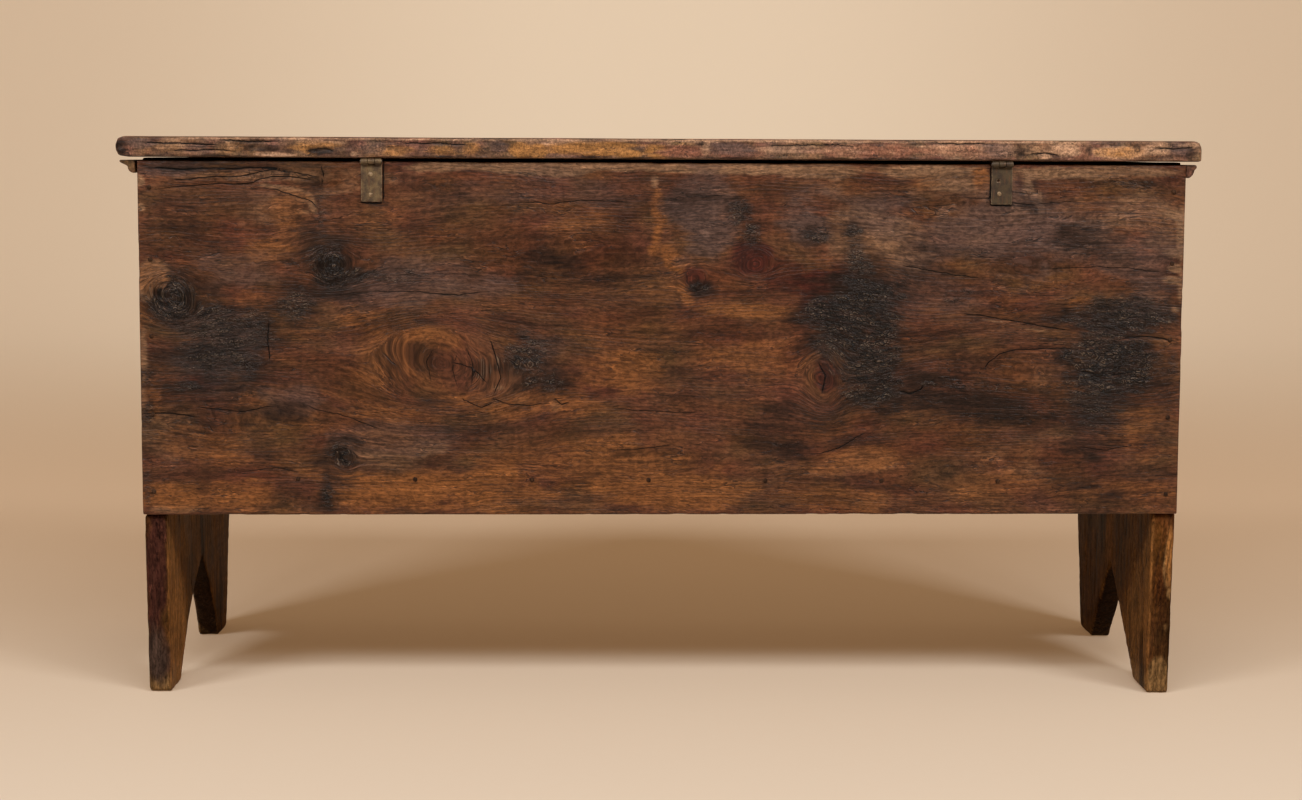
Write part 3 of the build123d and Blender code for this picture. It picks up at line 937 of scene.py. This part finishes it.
def longBoardShape(points, normals, edge, spec, outward):
    x, y, z = (points / mm).T
    seed = spec["seed"]
    facing = soften(normals[:, 1] * outward * 2)
    rag = noise(points, (60, 12, 30), seed + 1, 4) * 0.9
    rag += noise(points, (12, 8, 6), seed + 2, 2) * 0.25
    warpX = x + noise(points, (60, 60, 30), seed + 3, 2) * 7
    warpZ = z + noise(points, (90, 60, 30), seed + 4, 2) * 4
    bent = grainAround(warpX, warpZ, spec["knots"], spec["swells"])
    bent += noise(points, (420, 300, 90), seed + 5, 2) * 22
    halo = [(*spot[:2], spot[2] * 1.6, spot[3] * 1.6, spot[4] * 0.6, *spot[5:]) for spot in spec["char"]]
    char = patches(x, z, spec["char"], rag * 0.8, 1.5) * facing
    dark = patches(x, z, spec["dark"] + halo, rag, 1.1) * facing
    grey = patches(x, z, spec["grey"], rag, 1.1) * facing
    red = patches(x, z, spec["red"], rag, 0.9) * facing
    orange = patches(x, z, spec["orange"], rag, 1.0) * facing
    light = patches(x, z, spec["light"], rag, 1.0) * facing
    # bare chips show through soot
    dark = dark * (1 - soften(light * 1.4 - 0.4))
    char = char * (1 - soften(light * 1.6 - 0.6) * 0.9)
    sway = noise(points, 30, seed + 6, 2) * 2.4
    side, crack = nearestCrack(x, z + sway, spec["cracks"])
    crack = crack * facing
    hollow = 0.35 + 0.35 * noise(points, (110, 60, 34), seed + 8, 3)
    ripple = 1 - np.abs(noise(points, (70, 40, 15), seed + 10, 2)) * 2.2
    hollow = hollow + 0.3 * soften(ripple) * (0.5 + 0.5 * noise(points, 140, seed + 12))
    pitted = soften(noise(points, (9, 6, 5), seed + 9, 2) * 1.6 + 0.3)
    depth = hollow * soften(edge / 12) * 0.9
    depth += char * (0.4 + 1.1 * pitted)
    depth += crack * soften(1 - np.abs(side) / 3) * 1.1
    return {
        "grain": columns(x, bent, y) * mm,
        "burn": columns(char, dark, grey),
        "hue": columns(red, orange, light),
        "side": side,
        "crack": crack,
        "depth": np.clip(depth, 0, 3.5),
    }


def makeLongBoard(side, spec, look, outward):
    material = woodMaterial(side + "BoardWood", look)
    node = side + "_board"
    finishBoard(side + "Plank", node, "case", "plank_wood", material, spec, longBoardShape, outward)
    print(side, "board made")


makeLongBoard("back", backBoard, backLook, -1)


# Front board: the opening side, plainer

frontBoard = {
    "step": (4.0, 3.0, 2.8),
    "edgeStep": 1.0,
    "band": 4.0,
    "coarse": {(1, 0): (4, 4)},
    "corners": {(1, 2): (1.2, 1.2, 2.5, 1.5), (0, 2): (1.5, 1.5, 1.2, 1.2), (0, 1): (1.2, 1.2, 1.4, 1.4)},
    "edgeWear": 0.8,
    "chips": 1.6,
    "seed": 31,
    "lowEdges": (212.5, 216.8),
    "knots": [(-380, 330, 22, 16, 5), (210, 470, 30, 20, -8), (470, 300, 14, 11, 0), (-120, 540, 12, 9, 0)],
    "swells": [
        (-200, 400, 180, 40, 20), (330, 380, 170, 44, 22), (0, 280, 240, 30, 14), (-460, 520, 120, 36, 16),
    ],
    "char": [(-380, 330, 12, 9, 0.5), (210, 470, 14, 10, 0.5), (470, 300, 8, 7, 0.6)],
    "dark": [
        (-380, 330, 60, 26, 0.4), (210, 470, 70, 30, 0.4), (0, 235, 500, 20, 0.35),
        (-520, 420, 70, 90, 0.3), (560, 400, 50, 120, 0.3), (-100, 450, 120, 30, 0.25),
    ],
    "grey": [(-250, 560, 160, 30, 0.3), (380, 540, 120, 36, 0.3)],
    "red": [(60, 400, 120, 40, 0.3), (-420, 450, 80, 30, 0.3), (400, 420, 70, 30, 0.25)],
    "orange": [(-40, 560, 140, 40, 0.4), (-240, 260, 120, 22, 0.4), (300, 280, 120, 26, 0.4)],
    "light": [(0, 600, 260, 14, 0.4), (480, 560, 70, 24, 0.3), (-500, 270, 70, 24, 0.3)],
    "cracks": [
        (0.6, [(-596, 470), (-520, 474), (-430, 468)]),
        (0.5, [(603, 380), (540, 384), (450, 378), (400, 382)]),
        (0.4, [(-120, 330), (-30, 335), (80, 329)]), (0.5, [(120, 590), (220, 586), (330, 592)]),
    ],
}


makeLongBoard("front", frontBoard, {**backLook, "lines": 0.42}, 1)


# Lid: one thick plank, its back edge rubbed to tan and orange

lid = {
    "step": (3.0, 4.0, 1.7),
    "edgeStep": 1.0,
    "band": 6.0,
    "coarse": {(2, 0): (3, 3)},
    "corners": {(0, 2): (11.9, 3, 10, 11.9), (1, 2): (2, 3, 8, 3), (0, 1): (6, 5, 7, 7)},
    "edgeWear": 0.9,
    "chips": 1.3,
    "seed": 53,
    "knots": [(-300, 60, 34, 18, 6), (240, -120, 26, 15, -8), (460, 130, 16, 10, 0)],
    "swells": [(-100, -60, 240, 50, 26), (300, 60, 220, 50, 24), (-420, -100, 160, 50, 20)],
    "topDark": [
        (-300, 60, 70, 34, 0.5), (240, -120, 60, 28, 0.45), (0, 120, 300, 60, 0.25), (-480, -60, 90, 60, 0.3),
    ],
    "topChar": [(-300, 60, 13, 8, 0.6), (240, -120, 11, 7, 0.6), (460, 130, 9, 6, 0.6)],
    "topLight": [
        (0, -235, 560, 14, 0.35), (80, 235, 400, 12, 0.5), (-600, 0, 18, 200, 0.5), (602, 0, 16, 200, 0.5),
    ],
    "edgeDents": [(-384, 636, 14, 5, 0.9)],
    "topRed": [(120, 20, 200, 60, 0.3), (-300, -120, 150, 50, 0.25)],
    # along the back edge, in x and z
    "edgeOrange": [
        (-565, 635, 18, 7, 0.35), (-490, 634, 20, 8, 0.35), (-390, 637, 30, 7, 0.7),
        (-300, 634, 22, 7, 0.5), (-250, 635, 20, 7, 0.55), (-215, 635, 12, 7, 0.5), (-160, 634, 12, 8, 0.8),
        (-138, 634, 9, 7, 0.8), (-70, 637, 52, 8, 0.95), (-35, 631, 20, 6, 1.0), (-6, 634, 18, 8, 0.85),
        (520, 636, 30, 7, 0.45),
    ],
    "edgeRed": [
        (24, 634, 28, 8, 0.75), (84, 634, 40, 8, 0.4), (230, 635, 90, 8, 0.5), (340, 635, 60, 8, 0.45),
        (-520, 634, 18, 8, 0.4),
    ],
    "edgeLight": [
        (-385, 641, 28, 4, 0.8), (-438, 628, 24, 2.5, 0.95), (-349, 629, 6, 3, 1.0), (51, 636, 5, 6, 0.9),
        (300, 636, 150, 7, 0.55), (150, 637, 60, 6, 0.4), (440, 630, 7, 4, 0.8), (463, 637, 18, 7, 0.75),
        (520, 636, 28, 7, 0.85), (567, 637, 18, 7, 0.7), (-90, 642, 44, 3, 0.6), (-560, 638, 20, 6, 0.5),
        (-495, 636, 18, 5, 0.4), (-20, 646, 560, 2, 0.6), (604, 643, 12, 3, 0.7),
    ],
    "edgeDark": [
        (-612, 634, 8, 10, 0.6), (-455, 634, 24, 5, 0.5), (-385, 633, 16, 4, 0.6), (45, 643, 7, 3, 0.7),
        (412, 634, 15, 6, 0.5), (489, 638, 5, 6, 0.5), (545, 640, 5, 5, 0.5), (606, 633, 8, 8, 0.5),
        (-530, 626, 90, 2.2, 0.6), (100, 626, 480, 2, 0.45),
    ],
    "edgeGrey": [
        (-590, 640, 16, 6, 0.6), (-525, 634, 14, 8, 0.5), (-325, 637, 16, 8, 0.5), (-185, 637, 10, 8, 0.45),
        (86, 637, 32, 8, 0.6), (150, 637, 30, 8, 0.4), (386, 636, 18, 8, 0.55), (596, 637, 14, 8, 0.5),
    ],
    "edgeCracks": [
        (0.8, [(-590, 640), (-545, 641), (-500, 638)]), (0.7, [(-500, 645), (-470, 642), (-430, 643)]),
        (0.4, [(-402, 633), (-384, 636), (-368, 632)]), (0.6, [(-300, 641), (-250, 642), (-215, 640)]),
        (0.7, [(420, 632), (440, 634), (456, 630)]), (0.5, [(118, 641), (170, 642), (230, 641)]),
        (0.6, [(-560, 632), (-520, 633), (-480, 631)]), (0.6, [(560, 641), (585, 640), (612, 641)]),
        (0.5, [(300, 645), (340, 643), (380, 645)]),
    ],
    "topCracks": [
        (0.6, [(-619, -60), (-540, -58), (-430, -62)]), (0.6, [(619, 40), (520, 44), (400, 40)]),
        (0.4, [(-200, 120), (-60, 124), (90, 118)]), (0.5, [(619, -150), (560, -148), (500, -151)]),
    ],
}

lidLook = {
    **backLook,
    "ring": 4.6,
    "tilt": 0.75,
    "deep": (88, 60, 45),
    "body": (126, 90, 68),
    "warm": (144, 103, 78),
    "light": (180, 138, 107),
    "orange": (162, 111, 62),
    "red": (136, 86, 66),
    "grey": (98, 76, 68),
    "lines": 0.3,
    "wear": 0.6,
    "wearWidth": 2.6,
    "worn": (150, 116, 84),
    "rough": 0.44,
    "relief": 0.4,
}


def lidShape(points, normals, edge, spec):
    x, y, z = (points / mm).T
    seed = spec["seed"]
    top = soften(normals[:, 2] * 1.6)
    back = soften(-normals[:, 1] * 1.6 + 0.1)
    rag = noise(points, (30, 16, 6), seed + 1, 3) * 0.6
    bent = grainAround(x, y, spec["knots"], spec["swells"])
    bent = blend(bent, y, soften((220 - np.abs(y)) / -30))
    bent += noise(points, (420, 110, 300), seed + 5, 2) * 20

    def marks(kind, topEdge, backEdge):
        onTop = patches(x, y, spec.get("top" + kind, []), rag, topEdge) * top
        return np.maximum(onTop, patches(x, z, spec.get("edge" + kind, []), rag, backEdge) * back)

    char = marks("Char", 0.6, 1.0)
    burn = columns(char, marks("Dark", 1.1, 0.9), marks("Grey", 1.0, 1.0))
    hue = columns(marks("Red", 1.2, 1.0), marks("Orange", 1.0, 0.9), marks("Light", 1.2, 0.8))
    sway = noise(points, 24, seed + 6, 2)
    edgeSide, edgeCrack = nearestCrack(x, z + sway * 1.4, spec["edgeCracks"], 5)
    topSide, topCrack = nearestCrack(x, y + sway * 3, spec["topCracks"])
    side = np.where(back > top, edgeSide, topSide)
    crack = np.where(back > top, edgeCrack * back, topCrack * top)
    depth = (0.35 + 0.35 * noise(points, (120, 50, 40), seed + 8, 3)) * 0.9
    depth += char * 0.8
    depth += crack * soften(1 - np.abs(side) / 2.6) * 1.2
    depth += back * soften(noise(points, (17, 17, 7), seed + 9, 2) * 1.8) * 0.8
    depth += patches(x, z, spec["edgeDents"], rag * 0.5, 0.8) * back
    underside = soften(-normals[:, 2] * 2)
    depth = depth * (1 - underside * 0.8)
    # on the handled back edge the markings are shorter than on the top
    length = x * (1 + 1.6 * (back > 0.5))
    return {
        "grain": columns(length, bent, z) * mm,
        "burn": burn,
        "hue": hue,
        "side": side,
        "crack": crack,
        "depth": np.clip(depth, 0, 3),
    }


finishBoard("lidPlank", "lid_board", "lid", "lid_wood", woodMaterial("lidWood", lidLook), lid, lidShape)
print("lid made")


# Bottom board: dry and unwaxed, seen only from inside and below

bottomBoard = {
    "step": (6.0, 5.0, 6.0),
    "edgeStep": 1.5,
    "band": 3.0,
    "coarse": {},
    "corners": {(1, 2): (1, 1, 1, 1), (0, 2): (1, 1, 1, 1)},
    "edgeWear": 0.3,
    "chips": 0.5,
    "hollows": 0.6,
    "seed": 71,
}

dryLook = {
    **backLook,
    "deep": (92, 66, 48),
    "body": (130, 98, 70),
    "warm": (146, 106, 72),
    "late": (84, 58, 40),
    "lines": 0.5,
    "dirt": 0.55,
    "wear": 0.2,
    "rough": 0.82,
    "relief": 0.45,
}


def plainShape(points, normals, edge, spec, along, across, through):
    seed = spec["seed"]
    empty = np.zeros(len(points))
    bent = points[:, across] + noise(points, 300, seed + 5, 2) * 20 * mm
    dark = soften(noise(points, 120, seed + 1, 3) * 1.6 + 0.1) * 0.5
    return {
        "grain": columns(points[:, along], bent, points[:, through]),
        "burn": columns(empty, dark, empty),
        "hue": columns(empty, empty, empty),
        "side": empty + 8,
        "crack": empty,
        "depth": (0.3 + 0.3 * noise(points, 70, seed + 8, 2)) * spec["hollows"],
    }


finishBoard(
    "bottomPlank", "bottom_board", "case", "bottom_wood",
    woodMaterial("bottomWood", dryLook), bottomBoard, plainShape, 0, 1, 2,
)
print("bottom board made")


# Remeshed copies of CAD nodes for shapes that aren't plain planks


def remeshed(node, name, voxel, passes):
    source = nodes[node]
    holder = bpy.data.objects.new(name + "Source", source.data.copy())
    scene.collection.objects.link(holder)
    modifier = holder.modifiers.new("remesh", "REMESH")
    modifier.mode = "VOXEL"
    modifier.voxel_size = voxel * mm
    smooth = holder.modifiers.new("smooth", "SMOOTH")
    smooth.factor = 0.5
    smooth.iterations = passes
    bpy.context.view_layer.update()
    depsgraph = bpy.context.evaluated_depsgraph_get()
    mesh = bpy.data.meshes.new_from_object(holder.evaluated_get(depsgraph))
    mesh.name = name
    bpy.data.objects.remove(holder)
    return mesh


def sharpEdgeTree(node, step, shortest):
    # points along the CAD node's sharp edges that are long enough to be a board's own
    made = bmesh.new()
    made.from_mesh(nodes[node].data)
    bmesh.ops.remove_doubles(made, verts=made.verts, dist=0.01 * mm)
    spots = []
    for edge in made.edges:
        if len(edge.link_faces) != 2 or edge.calc_face_angle(0) < math.radians(20):
            continue
        length = edge.calc_length()
        if length < shortest * mm:
            continue
        count = max(1, int(length / (step * mm)))
        start = edge.verts[0].co.copy()
        end = edge.verts[1].co.copy()
        spots += [start.lerp(end, (n + 0.5) / count) for n in range(count)]
    made.free()
    tree = KDTree(len(spots))
    for number, spot in enumerate(spots):
        tree.insert(spot, number)
    tree.balance()
    return tree


def edgeDistances(points, node, step, shortest, most):
    tree = sharpEdgeTree(node, step, shortest)
    return np.minimum(np.array([tree.find(point)[2] for point in points]) / mm, most)


def finishRemeshed(name, mesh, node, slot, material, spec, shape, *extra):
    points = meshPoints(mesh)
    edge = edgeDistances(points, node, 1.5, 3.5, 40)
    carve(mesh, points, node, spec, edge, shape, *extra)
    place(name, mesh, material, "case", slot, node)


# End boards: upright grain, notched into feet, rubbed pale where they meet the floor

endBoard = {
    "voxel": 3.0,
    "edgeWear": 1.0,
    "chips": 1.6,
    "seeds": {"left": 91, "right": 121},
    # rubbed spots, orange, red and grey places on the legs' back faces, in x and z
    "light": {
        "left": [(-590, 30, 8, 26, 0.35), (-583, 8, 16, 7, 0.8)],
        "right": [
            (597, 155, 5, 30, 0.9), (600, 120, 5, 9, 0.8), (598, 80, 4, 8, 0.5), (588, 14, 14, 24, 0.8),
        ],
    },
    "orange": {"left": [], "right": [(598.05, 160, 5, 34, 0.8)]},
    "red": {"left": [(-584.45, 150, 16, 90, 0.8)], "right": []},
    "grey": {"left": [(-582.45, 44, 16, 34, 0.7)], "right": []},
    # painted light: how far the inner faces below the case, which lie in shade, are lightened towards orange
    "bare": {"left": 0.52, "right": 0.38},
}

endLook = {
    **backLook,
    "ring": 4.4,
    "tilt": 0.8,
    "deep": (62, 37, 14),
    "body": (82, 50, 21),
    "warm": (90, 57, 26),
    "light": (132, 98, 60),
    "orange": (148, 98, 52),
    "red": (66, 36, 28),
    "grey": (66, 50, 42),
    "dark": (46, 26, 8),
    "rough": 0.5,
    "gloss": 0.03,
    "lines": 0.4,
    "wear": 0.45,
    "wearWidth": 2.4,
    "worn": (132, 98, 68),
}


def endShape(points, normals, edge, spec, side):
    x, y, z = (points / mm).T
    seed = spec["seed"]
    outward = -1 if side == "left" else 1
    inner = soften(-normals[:, 0] * outward * 2)
    bent = y + noise(points, (200, 60, 420), seed + 5, 2) * 18
    rag = noise(points, (16, 16, 40), seed + 1, 3) * 0.6
    notch = soften(1 - np.abs(y) / 260) * soften((150 - z) / 60)
    foot = soften((34 - z) / 26 + rag * 0.5)
    dark = soften(noise(points, (60, 40, 160), seed + 2, 3) * 1.5 + 0.15) * 0.5
    # painted light: the inner faces below the case are lightened against the shade they lie in
    bare = inner * soften((246 - z) / 20)
    cut = soften((0.75 - np.abs(normals[:, 0])) * 4) * (np.abs(normals[:, 1]) < 0.995) * notch
    dark = np.maximum(dark, cut * 0.95)
    facing = soften(-normals[:, 1] * 2 - 0.6)
    light = np.maximum(foot * 0.75, patches(x, z, spec["light"][side], rag, 0.8) * facing)
    orange = patches(x, z, spec["orange"][side], rag, 0.8) * facing
    orange = np.maximum(orange, bare * spec["bare"][side])
    red = patches(x, z, spec["red"][side], rag, 1.0) * facing
    grey = patches(x, z, spec["grey"][side], rag, 1.0) * facing
    empty = np.zeros(len(points))
    depth = (0.4 + 0.4 * noise(points, (40, 40, 130), seed + 8, 3)) * 0.9
    depth += soften(noise(points, (7, 7, 22), seed + 9, 2) * 1.7) * 0.5
    return {
        "grain": columns(z, bent, x) * mm,
        "burn": columns(empty, dark, grey),
        "hue": columns(red, orange, light),
        "side": empty + 8,
        "crack": empty,
        "depth": depth,
    }


def makeEndBoard(side):
    node = side + "_end_board"
    name = side + "EndPlank"
    mesh = remeshed(node, name, endBoard["voxel"], 2)
    spec = {**endBoard, "seed": endBoard["seeds"][side]}
    material = woodMaterial(side + "EndWood", endLook)
    finishRemeshed(name, mesh, node, "end_wood", material, spec, endShape, side)


makeEndBoard("left")
makeEndBoard("right")
print("end boards made")


# Mouldings under the lid

moulding = {
    "voxel": 1.25,
    "edgeWear": 0.35,
    "chips": 0.8,
    "hollows": 0.3,
    "seeds": {"left_moulding": 141, "right_moulding": 151, "front_moulding": 161},
}

mouldingLook = {
    **backLook,
    "ring": 3.4,
    "tilt": 0.8,
    "deep": (70, 48, 35),
    "body": (108, 76, 54),
    "warm": (122, 86, 58),
    "wearWidth": 1.5,
    "relief": 0.3,
}


def makeMoulding(node):
    lengthwise = 0 if node == "front_moulding" else 1
    name = camelName(node)
    mesh = remeshed(node, name, moulding["voxel"], 1)
    spec = {**moulding, "seed": moulding["seeds"][node]}
    material = woodMaterial(name + "Wood", mouldingLook)
    axes = (lengthwise, 2, 1 - lengthwise)
    finishRemeshed(name, mesh, node, "moulding_wood", material, spec, plainShape, *axes)


for mouldingNode in moulding["seeds"]:
    makeMoulding(mouldingNode)
print("mouldings made")


# Iron: strap leaves, pins and nails

ironwork = {
    "leafVoxel": 0.45,
    "dent": 0.22,
    "strapTop": 616,
    "olive": (112, 90, 60),
    "brown": (70, 52, 36),
    "rust": (92, 60, 36),
    "dull": (34, 27, 21),
    "bright": (168, 142, 112),
    "rough": 0.5,
    "metal": 0.3,
    "gloss": 0.5,
}


def ironMaterial(name, look, scale=1.0):
    material, tree = newMaterial(name)
    tint = tints(look)
    where = put(tree, "TexCoord")["Object"]
    patch = waves(where, 120 * scale, 4, 0.6)
    streak = waves(stretched(where, 420, 420, 60), scale, 4, 0.6)
    grit = waves(where, 900 * scale, 3, 0.7)
    edge = parts(read(tree, "trim")["Vector"])[0]
    color = mixColor(remap(patch, 0.35, 0.65), tint["brown"], tint["olive"])
    color = mixColor(remap(streak, 0.5, 0.75, 0.0, 0.8), color, tint["rust"])
    color = mixColor(remap(grit, 0.55, 0.7, 0.0, 0.7), color, tint["dull"])
    color = mixColor(remap(patch * 1.4 - edge, 0.0, 0.5, 0.0, 0.75), color, tint["bright"])
    rough = remap(grit, 0.3, 0.7, look["rough"] - 0.12, look["rough"] + 0.2)
    bump = {"Strength": 0.7, "Distance": 0.3 * mm, "Height": grit * 0.5 + patch * 0.6}
    coat(tree, color, rough, look["gloss"], bump, Metallic=look["metal"])
    return material


darkIron = {**ironwork, "olive": (70, 58, 46), "brown": (58, 46, 38), "bright": (120, 104, 90)}
nailLook = {**darkIron, "olive": (56, 38, 27), "brown": (40, 26, 18), "bright": (88, 64, 48)}
rubbedLook = {**ironwork, "olive": (160, 134, 100), "brown": (104, 80, 56)}
leafMaterials = {
    "left": ironMaterial("leftLeafIron", ironwork),
    "right": ironMaterial("rightLeafIron", {**ironwork, "olive": (76, 60, 38), "brown": (54, 40, 27)}),
}
pinMaterial = ironMaterial("pinIron", darkIron)
nailMaterial = ironMaterial("nailIron", {**nailLook, "metal": 0.05, "gloss": 0.08}, 2.0)
rubbedNails = ironMaterial("rubbedNailIron", rubbedLook, 2.0)


def makeLeaf(node, body, material):
    name = camelName(node)
    mesh = remeshed(node, name, ironwork["leafVoxel"], 1)
    points = meshPoints(mesh)
    normals = meshNormals(mesh)
    edge = edgeDistances(points, node, 0.5, 0.2 if "pin" in node else 1.2, 12)
    seed = len(name) + (7 if "right" in node else 0)
    dents = 0.5 + 0.5 * noise(points, 6, seed, 3)
    # the knuckles are dented less than the strap below them
    away = soften((points[:, 2] - ironwork["strapTop"] * mm) / (2 * mm))
    depth = ironwork["dent"] * dents * (1 - away * 0.7) + np.exp(-edge / 0.6) * 0.25 * dents
    setPoints(mesh, np.clip(points - normals * (depth * mm)[:, None], *boxOf(node)))
    attach(mesh, "trim", columns(edge, edge * 0, edge * 0))
    place(name, mesh, material, body, "hinge_iron", node)


for hingeSide in ("left", "right"):
    makeLeaf(hingeSide + "_hinge_case_leaf", "case", leafMaterials[hingeSide])
    makeLeaf(hingeSide + "_hinge_lid_leaf", "lid", leafMaterials[hingeSide])
    makeLeaf(hingeSide + "_hinge_pin", "case", pinMaterial)
print("hinges made")


# Nails: one forged mesh for each nail of a CAD node, in the same place and direction

nail = {
    "head": 5.5,
    "headHeight": 1.0,
    "shank": 3.0,
    "seed": 7,
    # across the head from the middle: how far down, and how wide
    "dome": [(0.0, 0.28), (0.12, 0.55), (0.35, 0.82), (0.7, 0.97), (0.95, 1.0), (1.05, 0.93)],
}


def nailIslands(node):
    made = bmesh.new()
    made.from_mesh(nodes[node].data)
    bmesh.ops.remove_doubles(made, verts=made.verts, dist=0.01 * mm)
    left = set(made.verts)
    islands = []
    while left:
        stack = [left.pop()]
        island = []
        while stack:
            vert = stack.pop()
            island.append(vert.co.copy())
            for edge in vert.link_edges:
                other = edge.other_vert(vert)
                if other in left:
                    left.remove(other)
                    stack.append(other)
        islands.append(island)
    made.free()
    return sorted(islands, key=lambda island: tuple(round(sum(p[n] for p in island), 4) for n in range(3)))


def nailAxis(island):
    # the head end is the wide one
    array = np.array([tuple(p) for p in island])
    low = array.min(axis=0)
    high = array.max(axis=0)
    axis = int(np.argmax(high - low))
    others = [n for n in range(3) if n != axis]
    middle = (low + high) / 2
    nearLow = array[array[:, axis] < low[axis] + 2 * mm]
    nearHigh = array[array[:, axis] > high[axis] - 2 * mm]
    spreadLow = np.ptp(nearLow[:, others[0]])
    spreadHigh = np.ptp(nearHigh[:, others[0]])
    headAtLow = spreadLow > spreadHigh
    top = middle.copy()
    top[axis] = low[axis] if headAtLow else high[axis]
    direction = np.zeros(3)
    direction[axis] = 1 if headAtLow else -1
    return top, direction, others, high[axis] - low[axis]

def forgedNail(island, random):
    top, direction, others, length = nailAxis(island)
    half = nail["head"] / 2 * mm
    widest = half / 0.98
    sideU, sideV = np.eye(3)[others]
    if np.dot(np.cross(sideU, sideV), direction) > 0:
        sideU, sideV = sideV, sideU
    around = 16
    angles = [2 * math.pi * step / around for step in range(around)]
    turn = random.uniform(-0.25, 0.25)
    lobes = random.uniform(0.86, 1.0, around)
    points = [top + direction * 0.05 * mm]
    for down, spread in nail["dome"]:
        for angle, lobe in zip(angles, lobes):
            square = 1 / max(abs(math.cos(angle - turn)), abs(math.sin(angle - turn))) ** 0.55
            reach = min(half * spread * square * lobe, widest)
            sag = down * nail["headHeight"] * mm + random.uniform(-0.05, 0.05) * mm
            u = max(-half, min(half, reach * math.cos(angle)))
            v = max(-half, min(half, reach * math.sin(angle)))
            points.append(top + sideU * u + sideV * v + direction * max(sag, 0))
    shank = nail["shank"]
    for reach, down in ((shank / 2 * 0.98, nail["headHeight"] + 0.05), (shank * 0.2, length / mm)):
        for angle in angles:
            square = 1 / max(abs(math.cos(angle)), abs(math.sin(angle))) ** 0.9
            spot = sideU * math.cos(angle) + sideV * math.sin(angle)
            points.append(top + spot * reach * square * mm + direction * down * mm)
    ringCount = len(nail["dome"]) + 2
    faces = [(0, 1 + (step + 1) % around, 1 + step) for step in range(around)]
    for level in range(ringCount - 1):
        low = 1 + level * around
        for step in range(around):
            following = (step + 1) % around
            faces.append((low + step, low + following, low + around + following, low + around + step))
    last = 1 + (ringCount - 1) * around
    faces.append(tuple(last + step for step in range(around)))
    return points, faces


def makeNails(node, body):
    random = np.random.default_rng(nail["seed"] + sum(ord(letter) for letter in node))
    allPoints = []
    allFaces = []
    for island in nailIslands(node):
        points, faces = forgedNail(island, random)
        offset = len(allPoints)
        allPoints += points
        allFaces += [tuple(number + offset for number in face) for face in faces]
    name = camelName(node)
    mesh = newMesh(name, np.clip(np.array(allPoints), *boxOf(node)), allFaces)
    made = bmesh.new()
    made.from_mesh(mesh)
    bmesh.ops.recalc_face_normals(made, faces=made.faces)
    made.to_mesh(mesh)
    made.free()
    edge = np.ones(len(mesh.vertices)) * 0.7
    attach(mesh, "trim", columns(edge, edge * 0, edge * 0))
    place(name, mesh, rubbedNails if "case_nails" in node else nailMaterial, body, "nail_iron", node)


for nailNode in sorted(name for name in nodes if name.endswith("_nails")):
    makeNails(nailNode, "lid" if "lid_nails" in nailNode else "case")
print("nails made")
